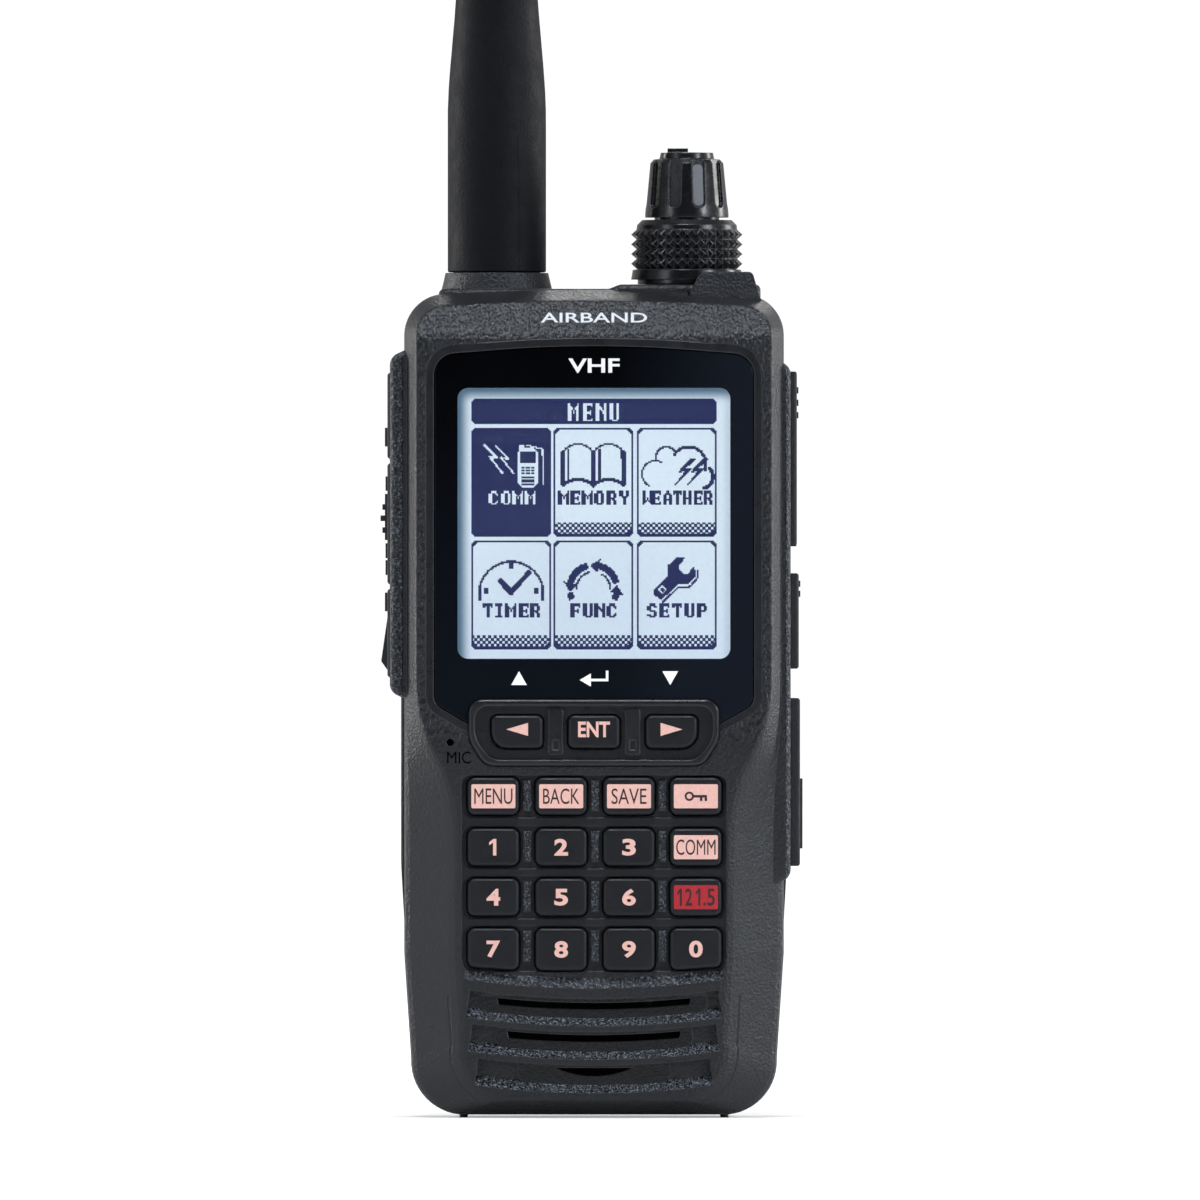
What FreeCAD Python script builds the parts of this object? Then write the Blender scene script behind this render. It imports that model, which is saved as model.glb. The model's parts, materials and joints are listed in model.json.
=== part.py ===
"""Handheld aviation radio: every sub-part is a separate solid, written as one STEP file per node.

Frame: +Z up, +X to the right, the keypad faces -Y. The origin is on the surface that the radio
stands on, midway across its width and its depth. Millimetres.
"""

import FreeCAD, Part
import math
import os
from FreeCAD import Vector

# ---------------------------------------------------------------- driving dimensions
FOOT = 0.5               # the feet hold the case this far above the table

HALF_WIDTH = 30.4        # case, side to side
CASE_TOP = 132.2         # top edge of the front case on the centre line
CORNER_X = 23.7          # centre of the rounded upper corners
CORNER_Z = 124.8
CORNER_R = 6.7
BAND = 1.9               # width of the sloping band round the front
HEEL_R = 8.4             # rounded lower corners

FRONT = -17.5            # flat front face
SHOULDER = -12.0         # where the sides start to turn towards the front
PARTING = -1.0           # joint between the front case and the chassis
WALL = 1.6
FRONT_WALL = 1.9

LEAN_FROM = 123.4        # the front starts to lean back here
LEAN_STEP = 0.8          # height of each strip of the crease
LEAN_SLOPES = (0.2, 0.4, 0.6, 0.8)

PLATE_FRONT = 1.0        # chassis plate
PLATE_BACK = 4.5
BLOCK_BOTTOM = 99.0      # chassis block behind the display
BLOCK_TOP = 133.0
LOW_TOP = 132.3          # the block is a little lower on the antenna's side
BLOCK_BACK = 15.5
NOSE_FRONT = -7.0        # front of the chassis block where it shows above the case

ANTENNA_X = -15.6
KNOB_X = 14.9
TOP_Y = 3.0              # antenna and knob axes stand at this depth

COLUMNS = (-16.1, -5.25, 5.6, 16.3)
ROWS = (51.0, 42.85, 34.85, 26.9)
KEY_WIDTH = 8.3
KEY_HEIGHT = 6.0
KEY_CORNER = 1.2
NAV_COLUMNS = (-12.3, 0.0, 12.4)
NAV_Z = 61.3
NAV_HEIGHT = 5.3
KEY_GAP = 0.22           # between a key and its hole
KEY_FLANGE = 0.6         # how far the flange behind a key stands out
KEY_FACE = -17.9
BEZEL_FRONT = -17.97     # rim round the navigation keys
NAV_CORNER = 2.2         # upper corners of that rim, which the lens follows
FLANGE_FRONT = -15.35
FLANGE_BACK = -14.6
POST_END = -13.95

ARCH_R = 150.0           # keypad edge and louvres sag on this radius

LENS_FRONT = -17.3
LENS_BACK = -15.9
LENS_ARCH_R = 200.0      # the top edge of the lens is gently arched

POD_FRONT = -13.8        # raised strips along both sides of the front case
POD_BACK = -2.4
LEFT_POD = 32.7
RIGHT_POD = 31.5
SIDE_KEY_FRONT = -12.2
SIDE_KEY_BACK = -4.2

COVER_HINGE_X = 31.9
COVER_HINGE_Y = -2.9
COVER_KNUCKLE_R = 0.55

BATTERY_HALF = 31.0
BATTERY_FOOT_HALF = 29.2
BATTERY_TAPER = 40.0     # the battery narrows to its foot from this height
BATTERY_FRONT = 4.7
BATTERY_BACK = 17.5
BATTERY_BOTTOM = 8.5
BATTERY_TOP = 98.0
RAIL_X = 26.5            # rails on the chassis that carry the battery's front
RAIL_GAP = 0.05
HOOK_ROWS = (30.0, 56.0, 82.0)
HOOK_X = 22.0

LATCH_Y = 1.0            # latch hinge axis
LATCH_Z = 2.6
LATCH_HALF = 9.3

SCREW_PLACES = ((-26.4, 14.0), (26.4, 14.0), (-26.4, 62.0), (26.4, 62.0))
SCREW_BOSS_R = 2.6
CLIP_HOLE_R = 1.25
CLIP_HOLE_X = 9.0
CLIP_HOLE_Z = 112.0

BOSS_R = 6.6             # boss of the chassis inside the dial's skirt
HUB_R = 5.2              # hub on the dial that fills the recess under the knob
HUB_TOP = 144.2

JACK_Y = -9.0
EAR_TOP = 135.0


# ---------------------------------------------------------------- building blocks
def box(x0, x1, y0, y1, z0, z1):
    return Part.makeBox(x1 - x0, y1 - y0, z1 - z0, Vector(x0, y0, z0))


def rod(axis, r, start, length):
    return Part.makeCylinder(r, length, Vector(*start), Vector(*axis))


def join(shapes):
    return shapes[0].multiFuse(shapes[1:]).removeSplitter() if len(shapes) > 1 else shapes[0]


def rounded_wire(corners, place):
    """Closed wire through (u, v, radius) corners; place(u, v) gives the point in space."""
    edges, count = [], len(corners)
    ends = []
    for k in range(count):
        before, here, after = corners[k - 1], corners[k], corners[(k + 1) % count]
        a = (before[0] - here[0], before[1] - here[1])
        b = (after[0] - here[0], after[1] - here[1])
        la, lb = math.hypot(*a), math.hypot(*b)
        turn = math.acos(max(-1.0, min(1.0, (a[0] * b[0] + a[1] * b[1]) / (la * lb))))
        r = here[2]
        if r == 0:
            ends.append(((here[0], here[1]), None, (here[0], here[1])))
            continue
        reach = r / math.tan(turn / 2)
        p = (here[0] + a[0] / la * reach, here[1] + a[1] / la * reach)
        q = (here[0] + b[0] / lb * reach, here[1] + b[1] / lb * reach)
        m = (a[0] / la + b[0] / lb, a[1] / la + b[1] / lb)
        lm = math.hypot(*m)
        depth = r / math.sin(turn / 2) - r
        ends.append((p, (here[0] + m[0] / lm * depth, here[1] + m[1] / lm * depth), q))
    for k in range(count):
        p, mid, q = ends[k]
        if mid is not None:
            edges.append(Part.Arc(place(*p), place(*mid), place(*q)).toShape())
        after = ends[(k + 1) % count][0]
        edges.append(Part.LineSegment(place(*q), place(*after)).toShape())
    return Part.Wire(edges)


def front_plate(corners, y0, y1):
    """Prism between the depths y0 and y1 whose outline is given as (x, z, radius) corners."""
    wire = rounded_wire(corners, lambda x, z: Vector(x, y0, z))
    return Part.Face(wire).extrude(Vector(0, y1 - y0, 0))


def side_plate(corners, x0, x1):
    """Prism between x0 and x1 whose outline is given as (y, z, radius) corners."""
    wire = rounded_wire(corners, lambda y, z: Vector(x0, y, z))
    return Part.Face(wire).extrude(Vector(x1 - x0, 0, 0))


def flat_plate(corners, z0, z1):
    """Prism between the heights z0 and z1 whose outline is given as (x, y, radius) corners."""
    wire = rounded_wire(corners, lambda x, y: Vector(x, y, z0))
    return Part.Face(wire).extrude(Vector(0, 0, z1 - z0))


def oblong(low_u, high_u, low_v, high_v, r):
    return [(low_u, high_v, r), (high_u, high_v, r), (high_u, low_v, r), (low_u, low_v, r)]


def both_sides(half, crown=()):
    """Whole outline from the corners of its right half, given from the top down. A crown is one
    more corner, on the centre line at the top."""
    return half + [(-u, v, r) for u, v, r in reversed(half)] + list(crown)


def turned(profile, x, y):
    """Solid of revolution about the vertical line at (x, y) from (radius, z) points."""
    points = [Vector(x + r, y, z) for r, z in profile]
    face = Part.Face(Part.makePolygon(points + points[:1]))
    return face.revolve(Vector(x, y, 0), Vector(0, 0, 1), 360)


def arched(profile, half_width, z_middle):
    """Sweep a (y, z) outline sideways along the sagging arch, which is lowest at the middle."""
    axis = Vector(0, 0, z_middle + ARCH_R)
    points = [Vector(0, y, z) for y, z in profile]
    face = Part.Face(Part.makePolygon(points + points[:1]))
    angle = math.degrees(math.asin(half_width / ARCH_R))
    face.rotate(axis, Vector(0, 1, 0), -angle)
    return face.revolve(axis, Vector(0, 1, 0), 2 * angle)


def soften(shape, r, chosen):
    """Round the edges that the test chosen(bounding box) picks."""
    return shape.makeFillet(r, [e for e in shape.Edges if chosen(e.BoundBox)])


def at_depth(y):
    return lambda b: abs(b.YMin - y) < 0.001 and abs(b.YMax - y) < 0.001


# ---------------------------------------------------------------- outer form of the case
def mix(a, b, t):
    return (a[0] + (b[0] - a[0]) * t, a[1] + (b[1] - a[1]) * t)


def case_section(y, t, inset=0.0):
    """Outline of the case at depth y. t = 0 is the full outline and t = 1 the front face's, which
    narrows below the display and leaves two sloping wings beside the keypad."""
    d = math.sqrt(0.5)
    inner_r = CORNER_R - BAND
    wide = HALF_WIDTH
    flat = HALF_WIDTH - BAND
    cx, cz = CORNER_X, CORNER_Z
    full = [
        ((cx + CORNER_R * d, cz + CORNER_R * d), (wide, cz)),
        ((wide, 90.0), (wide, 70.0)),
        ((wide, 63.5), (wide, 57.0)),
        ((wide, 50.5), (wide, 44.0)),
        ((wide, 35.0), (wide, 26.0)),
        ((29.85, 17.5), (29.3, 9.0)),
        ((21.0 + HEEL_R * d, 8.6 - HEEL_R * d), (21.5, 0.0)),
    ]
    face = [
        ((cx + inner_r * d, cz + inner_r * d), (flat, cz)),
        ((flat, 90.0), (flat, 70.0)),
        ((27.67, 63.3), (25.25, 57.0)),
        ((22.83, 50.7), (22.0, 44.0)),
        ((21.9, 35.0), (21.8, 26.0)),
        ((21.4, 19.0), (21.0, 12.0)),
        ((19.2, 4.9), (15.5, 2.4)),
    ]
    curved = (True, False, True, True, False, False, True)
    top = CASE_TOP - (BAND - 0.1) * t
    start = (cx, cz + CORNER_R - BAND * t)
    middle_z = CASE_TOP / 2
    scale_x = 1 - inset / HALF_WIDTH
    scale_z = 1 - inset / middle_z

    def at(p):
        return Vector(p[0] * scale_x, y, middle_z + (p[1] - middle_z) * scale_z)

    def left(p):
        return (-p[0], p[1])

    def run(a, through, b):
        if through is None:
            return Part.LineSegment(at(a), at(b)).toShape()
        return Part.Arc(at(a), at(through), at(b)).toShape()

    steps = []
    for bent, (m0, p0), (m1, p1) in zip(curved, full, face):
        through = mix(m0, m1, t) if bent and (t > 0 or m0[0] != p0[0]) else None
        steps.append((through, mix(p0, p1, t)))
    points = [start] + [p for _, p in steps]
    edges = [run(left(start), (0.0, top), start)]
    for k, (through, p) in enumerate(steps):
        edges.append(run(points[k], through, p))
    edges.append(run(points[-1], None, left(points[-1])))
    for k in range(len(steps) - 1, -1, -1):
        through = steps[k][0]
        edges.append(run(left(points[k + 1]), left(through) if through else None, left(points[k])))
    return Part.Wire(edges)


def lean_back(solid):
    """Lean everything above the crease backwards, in strips that get steeper."""
    def strip(z0, z1):
        return solid.common(box(-45, 45, -40, 20, z0, z1))

    parts, shift, z0 = [strip(-20, LEAN_FROM)], 0.0, LEAN_FROM
    for k, slope in enumerate(LEAN_SLOPES):
        z1 = z0 + LEAN_STEP if k < len(LEAN_SLOPES) - 1 else 150.0
        shear = FreeCAD.Matrix(1, 0, 0, 0, 0, 1, slope, shift - slope * z0, 0, 0, 1, 0, 0, 0, 0, 1)
        parts.append(strip(z0, z1).transformGeometry(shear))
        shift += slope * (z1 - z0)
        z0 = z1
    return parts[0].multiFuse(parts[1:]).common(box(-45, 45, -41, PARTING, -20, 150))


def case_form(levels, inset=0.0):
    sections = [case_section(y, t, inset) for y, t in levels]
    return lean_back(Part.makeLoft(sections, True, True))


# Depth and share of the band at each level, so that both edges of the band are rounded.
OUTER_LEVELS = (
    (PARTING, 0.0), (SHOULDER, 0.0), (-12.75, 0.03), (-13.35, 0.11),
    (-16.7, 0.83), (-17.2, 0.95), (-17.44, 1.05), (FRONT, 1.15),
)
CAVITY_LEVELS = ((PARTING, 0.0), (-11.4, 0.0), (FRONT + FRONT_WALL, 0.75))


# ---------------------------------------------------------------- display opening outlines
def lens_outline(grow):
    side = 25.6 + grow
    return both_sides([
        (side, 121.6 + grow, 3.5 + grow), (side, 65.7 - grow * 0.6, 2.5 + grow),
        (20.15, 62.55 - grow * 1.1, 0), (20.15, 66.55, NAV_CORNER),
    ], [(0, 123.6 + grow, LENS_ARCH_R)])


def nav_outline(grow):
    return both_sides([
        (20.1 + grow, 66.5 + grow, NAV_CORNER), (20.1 + grow, 60.0, 5.0), (17.4 + grow, 55.8 - grow, 2.8),
    ])


def key_outline(column, row, grow=0.0):
    """Outline of a keypad key. The bottom row follows the arch under the keypad."""
    x, z = COLUMNS[column], ROWS[row]
    w, h = KEY_WIDTH / 2 + grow, KEY_HEIGHT / 2 + grow
    drop = 0.8 if row == len(ROWS) - 1 else 0.0
    left_drop = drop if column > 0 else drop * 0.25
    right_drop = drop if column < len(COLUMNS) - 1 else drop * 0.25
    r = KEY_CORNER + grow
    return [(x - w, z + h, r), (x + w, z + h, r),
            (x + w, z - h - right_drop, r), (x - w, z - h - left_drop, r)]


def nav_key_outline(column, grow=0.0):
    """Outline of a navigation key. The outer lower corners of the side keys are cut rounder."""
    x = NAV_COLUMNS[column]
    w, h = KEY_WIDTH / 2 + grow, NAV_HEIGHT / 2 + grow
    small, large = 1.0 + grow, 2.6 + grow
    right, left = (large if column == 2 else small), (large if column == 0 else small)
    return [(x - w, NAV_Z + h, small), (x + w, NAV_Z + h, small),
            (x + w, NAV_Z - h, right), (x - w, NAV_Z - h, left)]


# ---------------------------------------------------------------- front case
# Foot of each louvre's lip, then the half widths of its pocket and of the pad inside it.
LOUVRES = ((14.2, 20.5, 18.5), (8.85, 20.1, 16.1), (3.5, 19.1, 12.5))
# Height range and half width of the arched sound slots in the two upper pads.
SLOTS = ((16.9, 17.9, 15.5), (11.7, 12.75, 13.9))
LOUVRE_FLOOR = FRONT + 1.4
LIP_RISE = 1.7
POCKET_HEIGHT = 4.4
PAD_FRONT = LOUVRE_FLOOR - 0.35


def louvre(z, half_width):
    """Pocket with a lip that slopes up to its floor."""
    outside = FRONT - 0.5
    return arched([(outside, z), (FRONT, z), (LOUVRE_FLOOR, z + LIP_RISE),
                   (LOUVRE_FLOOR, z + POCKET_HEIGHT),
                   (outside, z + POCKET_HEIGHT)], half_width, z)


def louvre_pad(z, half_width):
    """Smooth pad on a louvre's floor, with rounded lower corners."""
    low, high, back = z + 1.25, z + POCKET_HEIGHT + 0.2, LOUVRE_FLOOR + 0.3
    pad = arched([(PAD_FRONT, low), (back, low), (back, high), (PAD_FRONT, high)], half_width, z)
    return soften(pad, 1.5,
                  lambda b: b.YMax - b.YMin > 0.5 and b.XMax - b.XMin < 0.1 and b.ZMax < z + 3.0)


def sound_slot(low, high, half_width):
    """Arched slot through a pad and the wall, a little narrower at its lower edge."""
    front, back = PAD_FRONT - 0.2, LOUVRE_FLOOR + 1.2
    slot = arched([(front, low), (back, low), (back, high), (front, high)], half_width, low)
    slant = 0.6
    rise = half_width ** 2 / (2 * ARCH_R)
    ends = front_plate([(-half_width, high + rise, 0), (half_width, high + rise, 0),
                        (half_width - slant, low - 0.5, 0),
                        (slant - half_width, low - 0.5, 0)], front, back)
    return slot.common(ends)


def crescent_slot():
    """Slot in the lowest pad: straight above and bowed below."""
    half_width, top, bottom = 6.0, 7.5, 6.2
    a, b = Vector(-half_width, PAD_FRONT - 0.2, top), Vector(half_width, PAD_FRONT - 0.2, top)
    bow = Part.Arc(b, Vector(0, PAD_FRONT - 0.2, bottom), a).toShape()
    face = Part.Face(Part.Wire([Part.LineSegment(a, b).toShape(), bow]))
    return face.extrude(Vector(0, 1.8, 0))


def keypad_recess():
    """Shallow recess for the whole keypad, deeper row channels and the key holes."""
    half = 21.2
    lower = [(FRONT - 0.5, 20.2), (FRONT, 20.2), (FRONT + 0.7, 21.9),
             (FRONT + 0.7, 30.0), (FRONT - 0.5, 30.0)]
    cuts = [
        front_plate(oblong(-half, half, 24.0, 54.3, 1.4), FRONT - 0.5, FRONT + 0.7),
        arched(lower, half - 0.4, 20.2),
    ]
    for row, z in enumerate(ROWS):
        drop = 0.8 if row == len(ROWS) - 1 else 0.0
        cuts.append(front_plate(oblong(-half + 0.2, half - 0.2, z - 3.45 - drop * 0.6, z + 3.35, 1.3),
                                FRONT, FRONT + 1.15))
        for column in range(len(COLUMNS)):
            cuts.append(front_plate(key_outline(column, row, KEY_GAP), FRONT, FRONT + 4))
    return cuts


def keypad_ribs():
    """Small upright ribs between neighbouring keys."""
    ribs = []
    for z in ROWS:
        for k in range(len(COLUMNS) - 1):
            x = (COLUMNS[k] + COLUMNS[k + 1]) / 2
            ribs.append(box(x - 0.65, x + 0.65, FRONT + 0.55, FRONT + 1.3, z - 2.3, z + 2.6))
    return ribs


def pod(side, reach, z0, z1, chamfer):
    """Raised strip on one side of the case, with sloping ends."""
    base, top = HALF_WIDTH - WALL - 0.1, reach
    outline = [(base, z0 - chamfer * 1.2), (top, z0 + 0.2), (top, z1 - 0.2), (base, z1 + chamfer * 1.2)]
    points = [Vector(side * x, POD_FRONT, z) for x, z in outline]
    face = Part.Face(Part.makePolygon(points + points[:1]))
    block = face.extrude(Vector(0, POD_BACK - POD_FRONT, 0))

    def outward(b):
        return max(abs(b.XMin), abs(b.XMax))

    block = soften(block, 2.0, lambda b: b.YMax - b.YMin > 5 and outward(b) > reach - 0.01)
    block = soften(block, 1.0, lambda b: at_depth(POD_FRONT)(b) and outward(b) > base + 0.01)
    return soften(block, 0.5, lambda b: at_depth(POD_BACK)(b) and outward(b) > base + 0.01)


def cover_pocket(z0, z1):
    """Seat of a rubber cover, with the channel for its hinge knuckle."""
    channel = rod((0, 0, 1), COVER_KNUCKLE_R + 0.25,
                  (COVER_HINGE_X, COVER_HINGE_Y, z0 - 0.3), z1 - z0 + 0.6)
    return [box(RIGHT_POD - 0.35, 40, POD_FRONT + 1.0, COVER_HINGE_Y, z0 - 0.3, z1 + 0.3), channel]


COVERS = {
    "audio_cover": (91.0, 119.0, 32.5),
    "dc_cover": (71.4, 86.7, 32.8),
    "usb_cover": (39.8, 66.7, 33.0),
}
SIDE_KEYS = {
    "monitor_key": (105.0, 118.8),
    "ptt_key": (84.9, 104.3),
    "lamp_key": (70.0, 84.2),
}


def front_case():
    shell = case_form(OUTER_LEVELS).cut(case_form(CAVITY_LEVELS, WALL))
    bosses = [rod((0, 1, 0), SCREW_BOSS_R, (x, -11.0, z), 10.0) for x, z in SCREW_PLACES]
    outside = case_form(((PARTING, 0.0), (SHOULDER, 0.0), (-16.0, 0.9)), 0.3)
    bosses = [b.common(outside) for b in bosses]
    pods = [pod(-1, LEFT_POD, 67.5, 121.5, 1.4), pod(1, RIGHT_POD, 38.0, 119.8, 1.4)]
    inner = case_form(CAVITY_LEVELS, WALL)
    pods = [p.cut(inner) for p in pods]
    shell = join([shell] + bosses + pods)

    cuts = [
        front_plate(lens_outline(1.3), FRONT - 1, FRONT + 5),
        front_plate(nav_outline(0.06), FRONT - 1, FRONT + 5),
        rod((0, 1, 0), 0.6, (-23.0, FRONT - 1, 59.6), 4),
    ]
    cuts += keypad_recess()
    cuts += [louvre(z, half_width) for z, half_width, _ in LOUVRES]
    for x, z in SCREW_PLACES:
        cuts.append(rod((0, 1, 0), 0.9, (x, -9.5, z), 10.0))
    # Long window for the three side keys, with room for their flanges behind it.
    cuts.append(box(-LEFT_POD - 1, -28.0, SIDE_KEY_FRONT - 0.25, SIDE_KEY_BACK + 0.25, 69.7, 119.1))
    cuts.append(box(-31.5, -28.0, SIDE_KEY_FRONT - 1.0, SIDE_KEY_BACK + 1.0, 69.0, 119.8))
    for z0, z1, _ in COVERS.values():
        cuts += cover_pocket(z0, z1)
    cuts += [rod((1, 0, 0), r, (27, JACK_Y, z), 8) for z, r in ((110.0, 3.4), (99.6, 3.4), (79.0, 3.6))]
    cuts.append(box(27, 35, JACK_Y - 1.8, JACK_Y + 1.8, 48.6, 57.4))
    # The chassis block and its ear come up through the back of the top edge.
    cuts.append(box(-25.0, 26.8, NOSE_FRONT - 0.05, 5, 128.0, 140))
    cuts.append(box(15.0, 26.8, -9.55, NOSE_FRONT + 1, 130.1, 140))
    feet = [rod((0, 0, 1), 0.65, (side * 20.9, -8.5, -FOOT), 2.2) for side in (-1, 1)]
    body = shell.cut(join_loose(cuts))
    pads = [louvre_pad(z, half_width) for z, _, half_width in LOUVRES]
    body = join([body] + pads + keypad_ribs() + feet)
    return body.cut(join_loose([sound_slot(*s) for s in SLOTS] + [crescent_slot()]))


def join_loose(shapes):
    return shapes[0].multiFuse(shapes[1:])


def lens_frame():
    """Gasket round the lens, with a lip behind it that the lens sits on."""
    rim = front_plate(lens_outline(1.3), FRONT + 0.05, FRONT + 2.6)
    rim = rim.cut(front_plate(lens_outline(0.05), FRONT - 1, LENS_BACK))
    opening = front_plate(oblong(-23.6, 23.6, 68.2, 118.6, 1.5), FRONT, FRONT + 5)
    below = front_plate(nav_outline(0.0), FRONT - 1, FRONT + 5)
    return rim.cut(opening).cut(below)


def display_lens():
    plate = front_plate(lens_outline(0.0), LENS_FRONT, LENS_BACK)
    return soften(plate, 0.3, lambda b: at_depth(LENS_FRONT)(b) and b.ZMax > 67.5)


def nav_bezel():
    """Raised surround of the navigation keys."""
    rim = front_plate(nav_outline(0.0), BEZEL_FRONT, FRONT + 1.8)
    rim = soften(rim, 0.5, at_depth(BEZEL_FRONT))
    well = front_plate(nav_outline(-0.95), FRONT - 1, FRONT + 0.75)
    body = rim.cut(well)
    bridges = []
    for k in range(2):
        x = (NAV_COLUMNS[k] + NAV_COLUMNS[k + 1]) / 2
        bridges.append(front_plate(oblong(x - 1.15, x + 1.15, 57.6, 65.0, 0.5), FRONT + 0.1, FRONT + 1.8))
    body = join([body] + bridges)
    holes = [front_plate(nav_key_outline(k, KEY_GAP), FRONT - 1, FRONT + 4) for k in range(3)]
    windows = []
    for k in range(2):
        x = (NAV_COLUMNS[k] + NAV_COLUMNS[k + 1]) / 2
        windows.append(front_plate(oblong(x - 0.5, x + 0.5, 58.4, 60.0, 0.2), FRONT - 1, FRONT + 0.4))
    return body.cut(join_loose(holes + windows))


def key(outline, flange):
    """Key cap with a rounded face, the flange that keeps it in, and the post behind it."""
    cap = soften(front_plate(outline, KEY_FACE, FLANGE_FRONT + 0.1), 0.55, at_depth(KEY_FACE))
    back = front_plate(flange, FLANGE_FRONT, FLANGE_BACK)
    x = (outline[0][0] + outline[1][0]) / 2
    z = (outline[0][1] + outline[3][1]) / 2
    post = rod((0, 1, 0), 1.2, (x, FLANGE_BACK - 0.1, z), POST_END - FLANGE_BACK + 0.1)
    return join([cap, back, post])


KEY_NAMES = (
    ("menu_key", "back_key", "save_key", "lock_key"),
    ("digit_1_key", "digit_2_key", "digit_3_key", "comm_key"),
    ("digit_4_key", "digit_5_key", "digit_6_key", "emergency_key"),
    ("digit_7_key", "digit_8_key", "digit_9_key", "digit_0_key"),
)
NAV_NAMES = ("left_key", "enter_key", "right_key")


def all_key_outlines(grow=0.0):
    outlines = {}
    for row, names in enumerate(KEY_NAMES):
        for column, name in enumerate(names):
            outlines[name] = key_outline(column, row, grow)
    for column, name in enumerate(NAV_NAMES):
        outlines[name] = nav_key_outline(column, grow)
    return outlines


def post_places():
    places = []
    for outline in all_key_outlines().values():
        places.append(((outline[0][0] + outline[1][0]) / 2, (outline[0][1] + outline[3][1]) / 2))
    return places


def keypad_mat():
    mat = front_plate(oblong(-22.3, 22.3, 21.5, 67.0, 2.0), -13.6, -12.9)
    return mat.cut(join_loose([rod((0, 1, 0), 1.6, (x, -14.5, z), 3) for x, z in post_places()]))


def key_board():
    board = front_plate(oblong(-23.4, 23.4, 24.2, 67.5, 1.0), -12.8, -11.8)
    domes = [rod((0, 1, 0), 1.3, (x, -13.1, z), 0.4) for x, z in post_places() if z > 25.6]
    return join([board] + domes)


# ---------------------------------------------------------------- inside the front case
def lcd_panel():
    return front_plate(oblong(-23.4, 23.4, 70.6, 118.4, 0.4), -14.85, -13.2)


def backlight_unit():
    return front_plate(oblong(-23.4, 23.4, 70.6, 118.4, 0.4), -13.2, -12.2)


def main_board():
    board = front_plate(oblong(-25.8, 25.8, 7.0, 121.0, 2.0), -6.0, -4.8)
    notches = [rod((0, 1, 0), 2.7, (x, -8, z), 6) for x, z in SCREW_PLACES]
    return board.cut(join_loose(notches))


def shield_cans():
    """Two folded metal covers over the radio circuits."""
    cans = []
    for x0, x1, z0, z1 in ((-20.0, 20.0, 66.0, 92.0), (-20.0, 8.0, 36.0, 62.0)):
        can = box(x0, x1, -4.8, -2.2, z0, z1)
        cans.append(can.cut(box(x0 + 0.4, x1 - 0.4, -4.9, -2.6, z0 + 0.4, z1 - 0.4)))
    return Part.makeCompound(cans)


def speaker():
    z = 13.0
    body = rod((0, 1, 0), 9.0, (0, -15.3, z), 1.2)
    magnet = rod((0, 1, 0), 6.5, (0, -14.2, z), 4.6)
    cone = Part.makeCone(7.8, 3.0, 0.9, Vector(0, -15.4, z), Vector(0, 1, 0))
    return join([body, magnet]).cut(cone)


def microphone():
    return rod((0, 1, 0), 2.0, (-22.6, -15.2, 59.6), 1.2)


def side_switch_board():
    board = box(-27.2, -26.5, -11.6, -4.8, 71.0, 118.0)
    caps = [rod((1, 0, 0), 1.0, (-27.5, -8.2, (z0 + z1) / 2), 0.4) for z0, z1 in SIDE_KEYS.values()]
    return join([board] + caps)


def audio_jacks():
    """Two barrel sockets that open through the right side."""
    jacks = []
    for z, r in ((110.0, 1.8), (99.6, 1.3)):
        shell = box(17.6, 28.2, JACK_Y - 2.8, JACK_Y + 2.8, z - 3.2, z + 3.2)
        collar = rod((1, 0, 0), 3.1, (28.0, JACK_Y, z), 2.8)
        jacks.append(join([shell, collar]).cut(rod((1, 0, 0), r, (18.8, JACK_Y, z), 20)))
    return Part.makeCompound(jacks)


def dc_jack():
    z = 79.0
    body = join([box(18.6, 28.2, JACK_Y - 2.8, JACK_Y + 2.8, z - 4.0, z + 4.0),
                 rod((1, 0, 0), 3.3, (28.0, JACK_Y, z), 2.8)])
    hole = rod((1, 0, 0), 2.1, (20.0, JACK_Y, z), 20)
    pin = rod((1, 0, 0), 0.65, (19.6, JACK_Y, z), 9.0)
    return join([body.cut(hole), pin])


def usb_socket():
    z0, z1 = 49.2, 56.8
    shell = side_plate(oblong(JACK_Y - 1.5, JACK_Y + 1.5, z0, z1, 0.6), 24.4, 30.7)
    inside = side_plate(oblong(JACK_Y - 1.1, JACK_Y + 1.1, z0 + 0.4, z1 - 0.4, 0.4), 25.4, 32)
    tongue = box(25.0, 29.6, JACK_Y - 0.3, JACK_Y + 0.4, z0 + 1.6, z1 - 1.6)
    return join([shell.cut(inside), tongue])


# ---------------------------------------------------------------- side keys and covers
def bump(height, z0, z1):
    """Raised bar across a left side key; height is how far out it stands."""
    return box(-height, -32.0, SIDE_KEY_FRONT + 1.0, SIDE_KEY_BACK - 1.0, z0, z1)


def side_key(z0, z1, bumps):
    face = 33.1
    cap = side_plate(oblong(SIDE_KEY_FRONT, SIDE_KEY_BACK, z0, z1, 1.0), -face, -31.2)
    cap = soften(cap, 0.5, lambda b: b.XMax < -face + 0.001)
    flange = box(-31.3, -30.5, SIDE_KEY_FRONT - 0.6, SIDE_KEY_BACK + 0.6, z0 + 0.05, z1 - 0.05)
    post = rod((1, 0, 0), 1.2, (-30.6, -8.2, (z0 + z1) / 2), 2.3)
    return join([cap, flange, post] + bumps)


def monitor_key():
    return side_key(*SIDE_KEYS["monitor_key"], [bump(33.5, 107.0, 110.0)])


def ptt_key():
    block = [bump(33.5, 92.0, 99.4), bump(33.4, 99.9, 102.2),
             bump(33.4, 89.1, 91.5), bump(33.4, 86.4, 88.8)]
    ribs = [bump(reach, z - 0.45, z + 0.45) for z, reach in ((97.3, 33.9), (95.5, 34.2), (93.6, 33.9))]
    return side_key(*SIDE_KEYS["ptt_key"], block + ribs)


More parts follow.
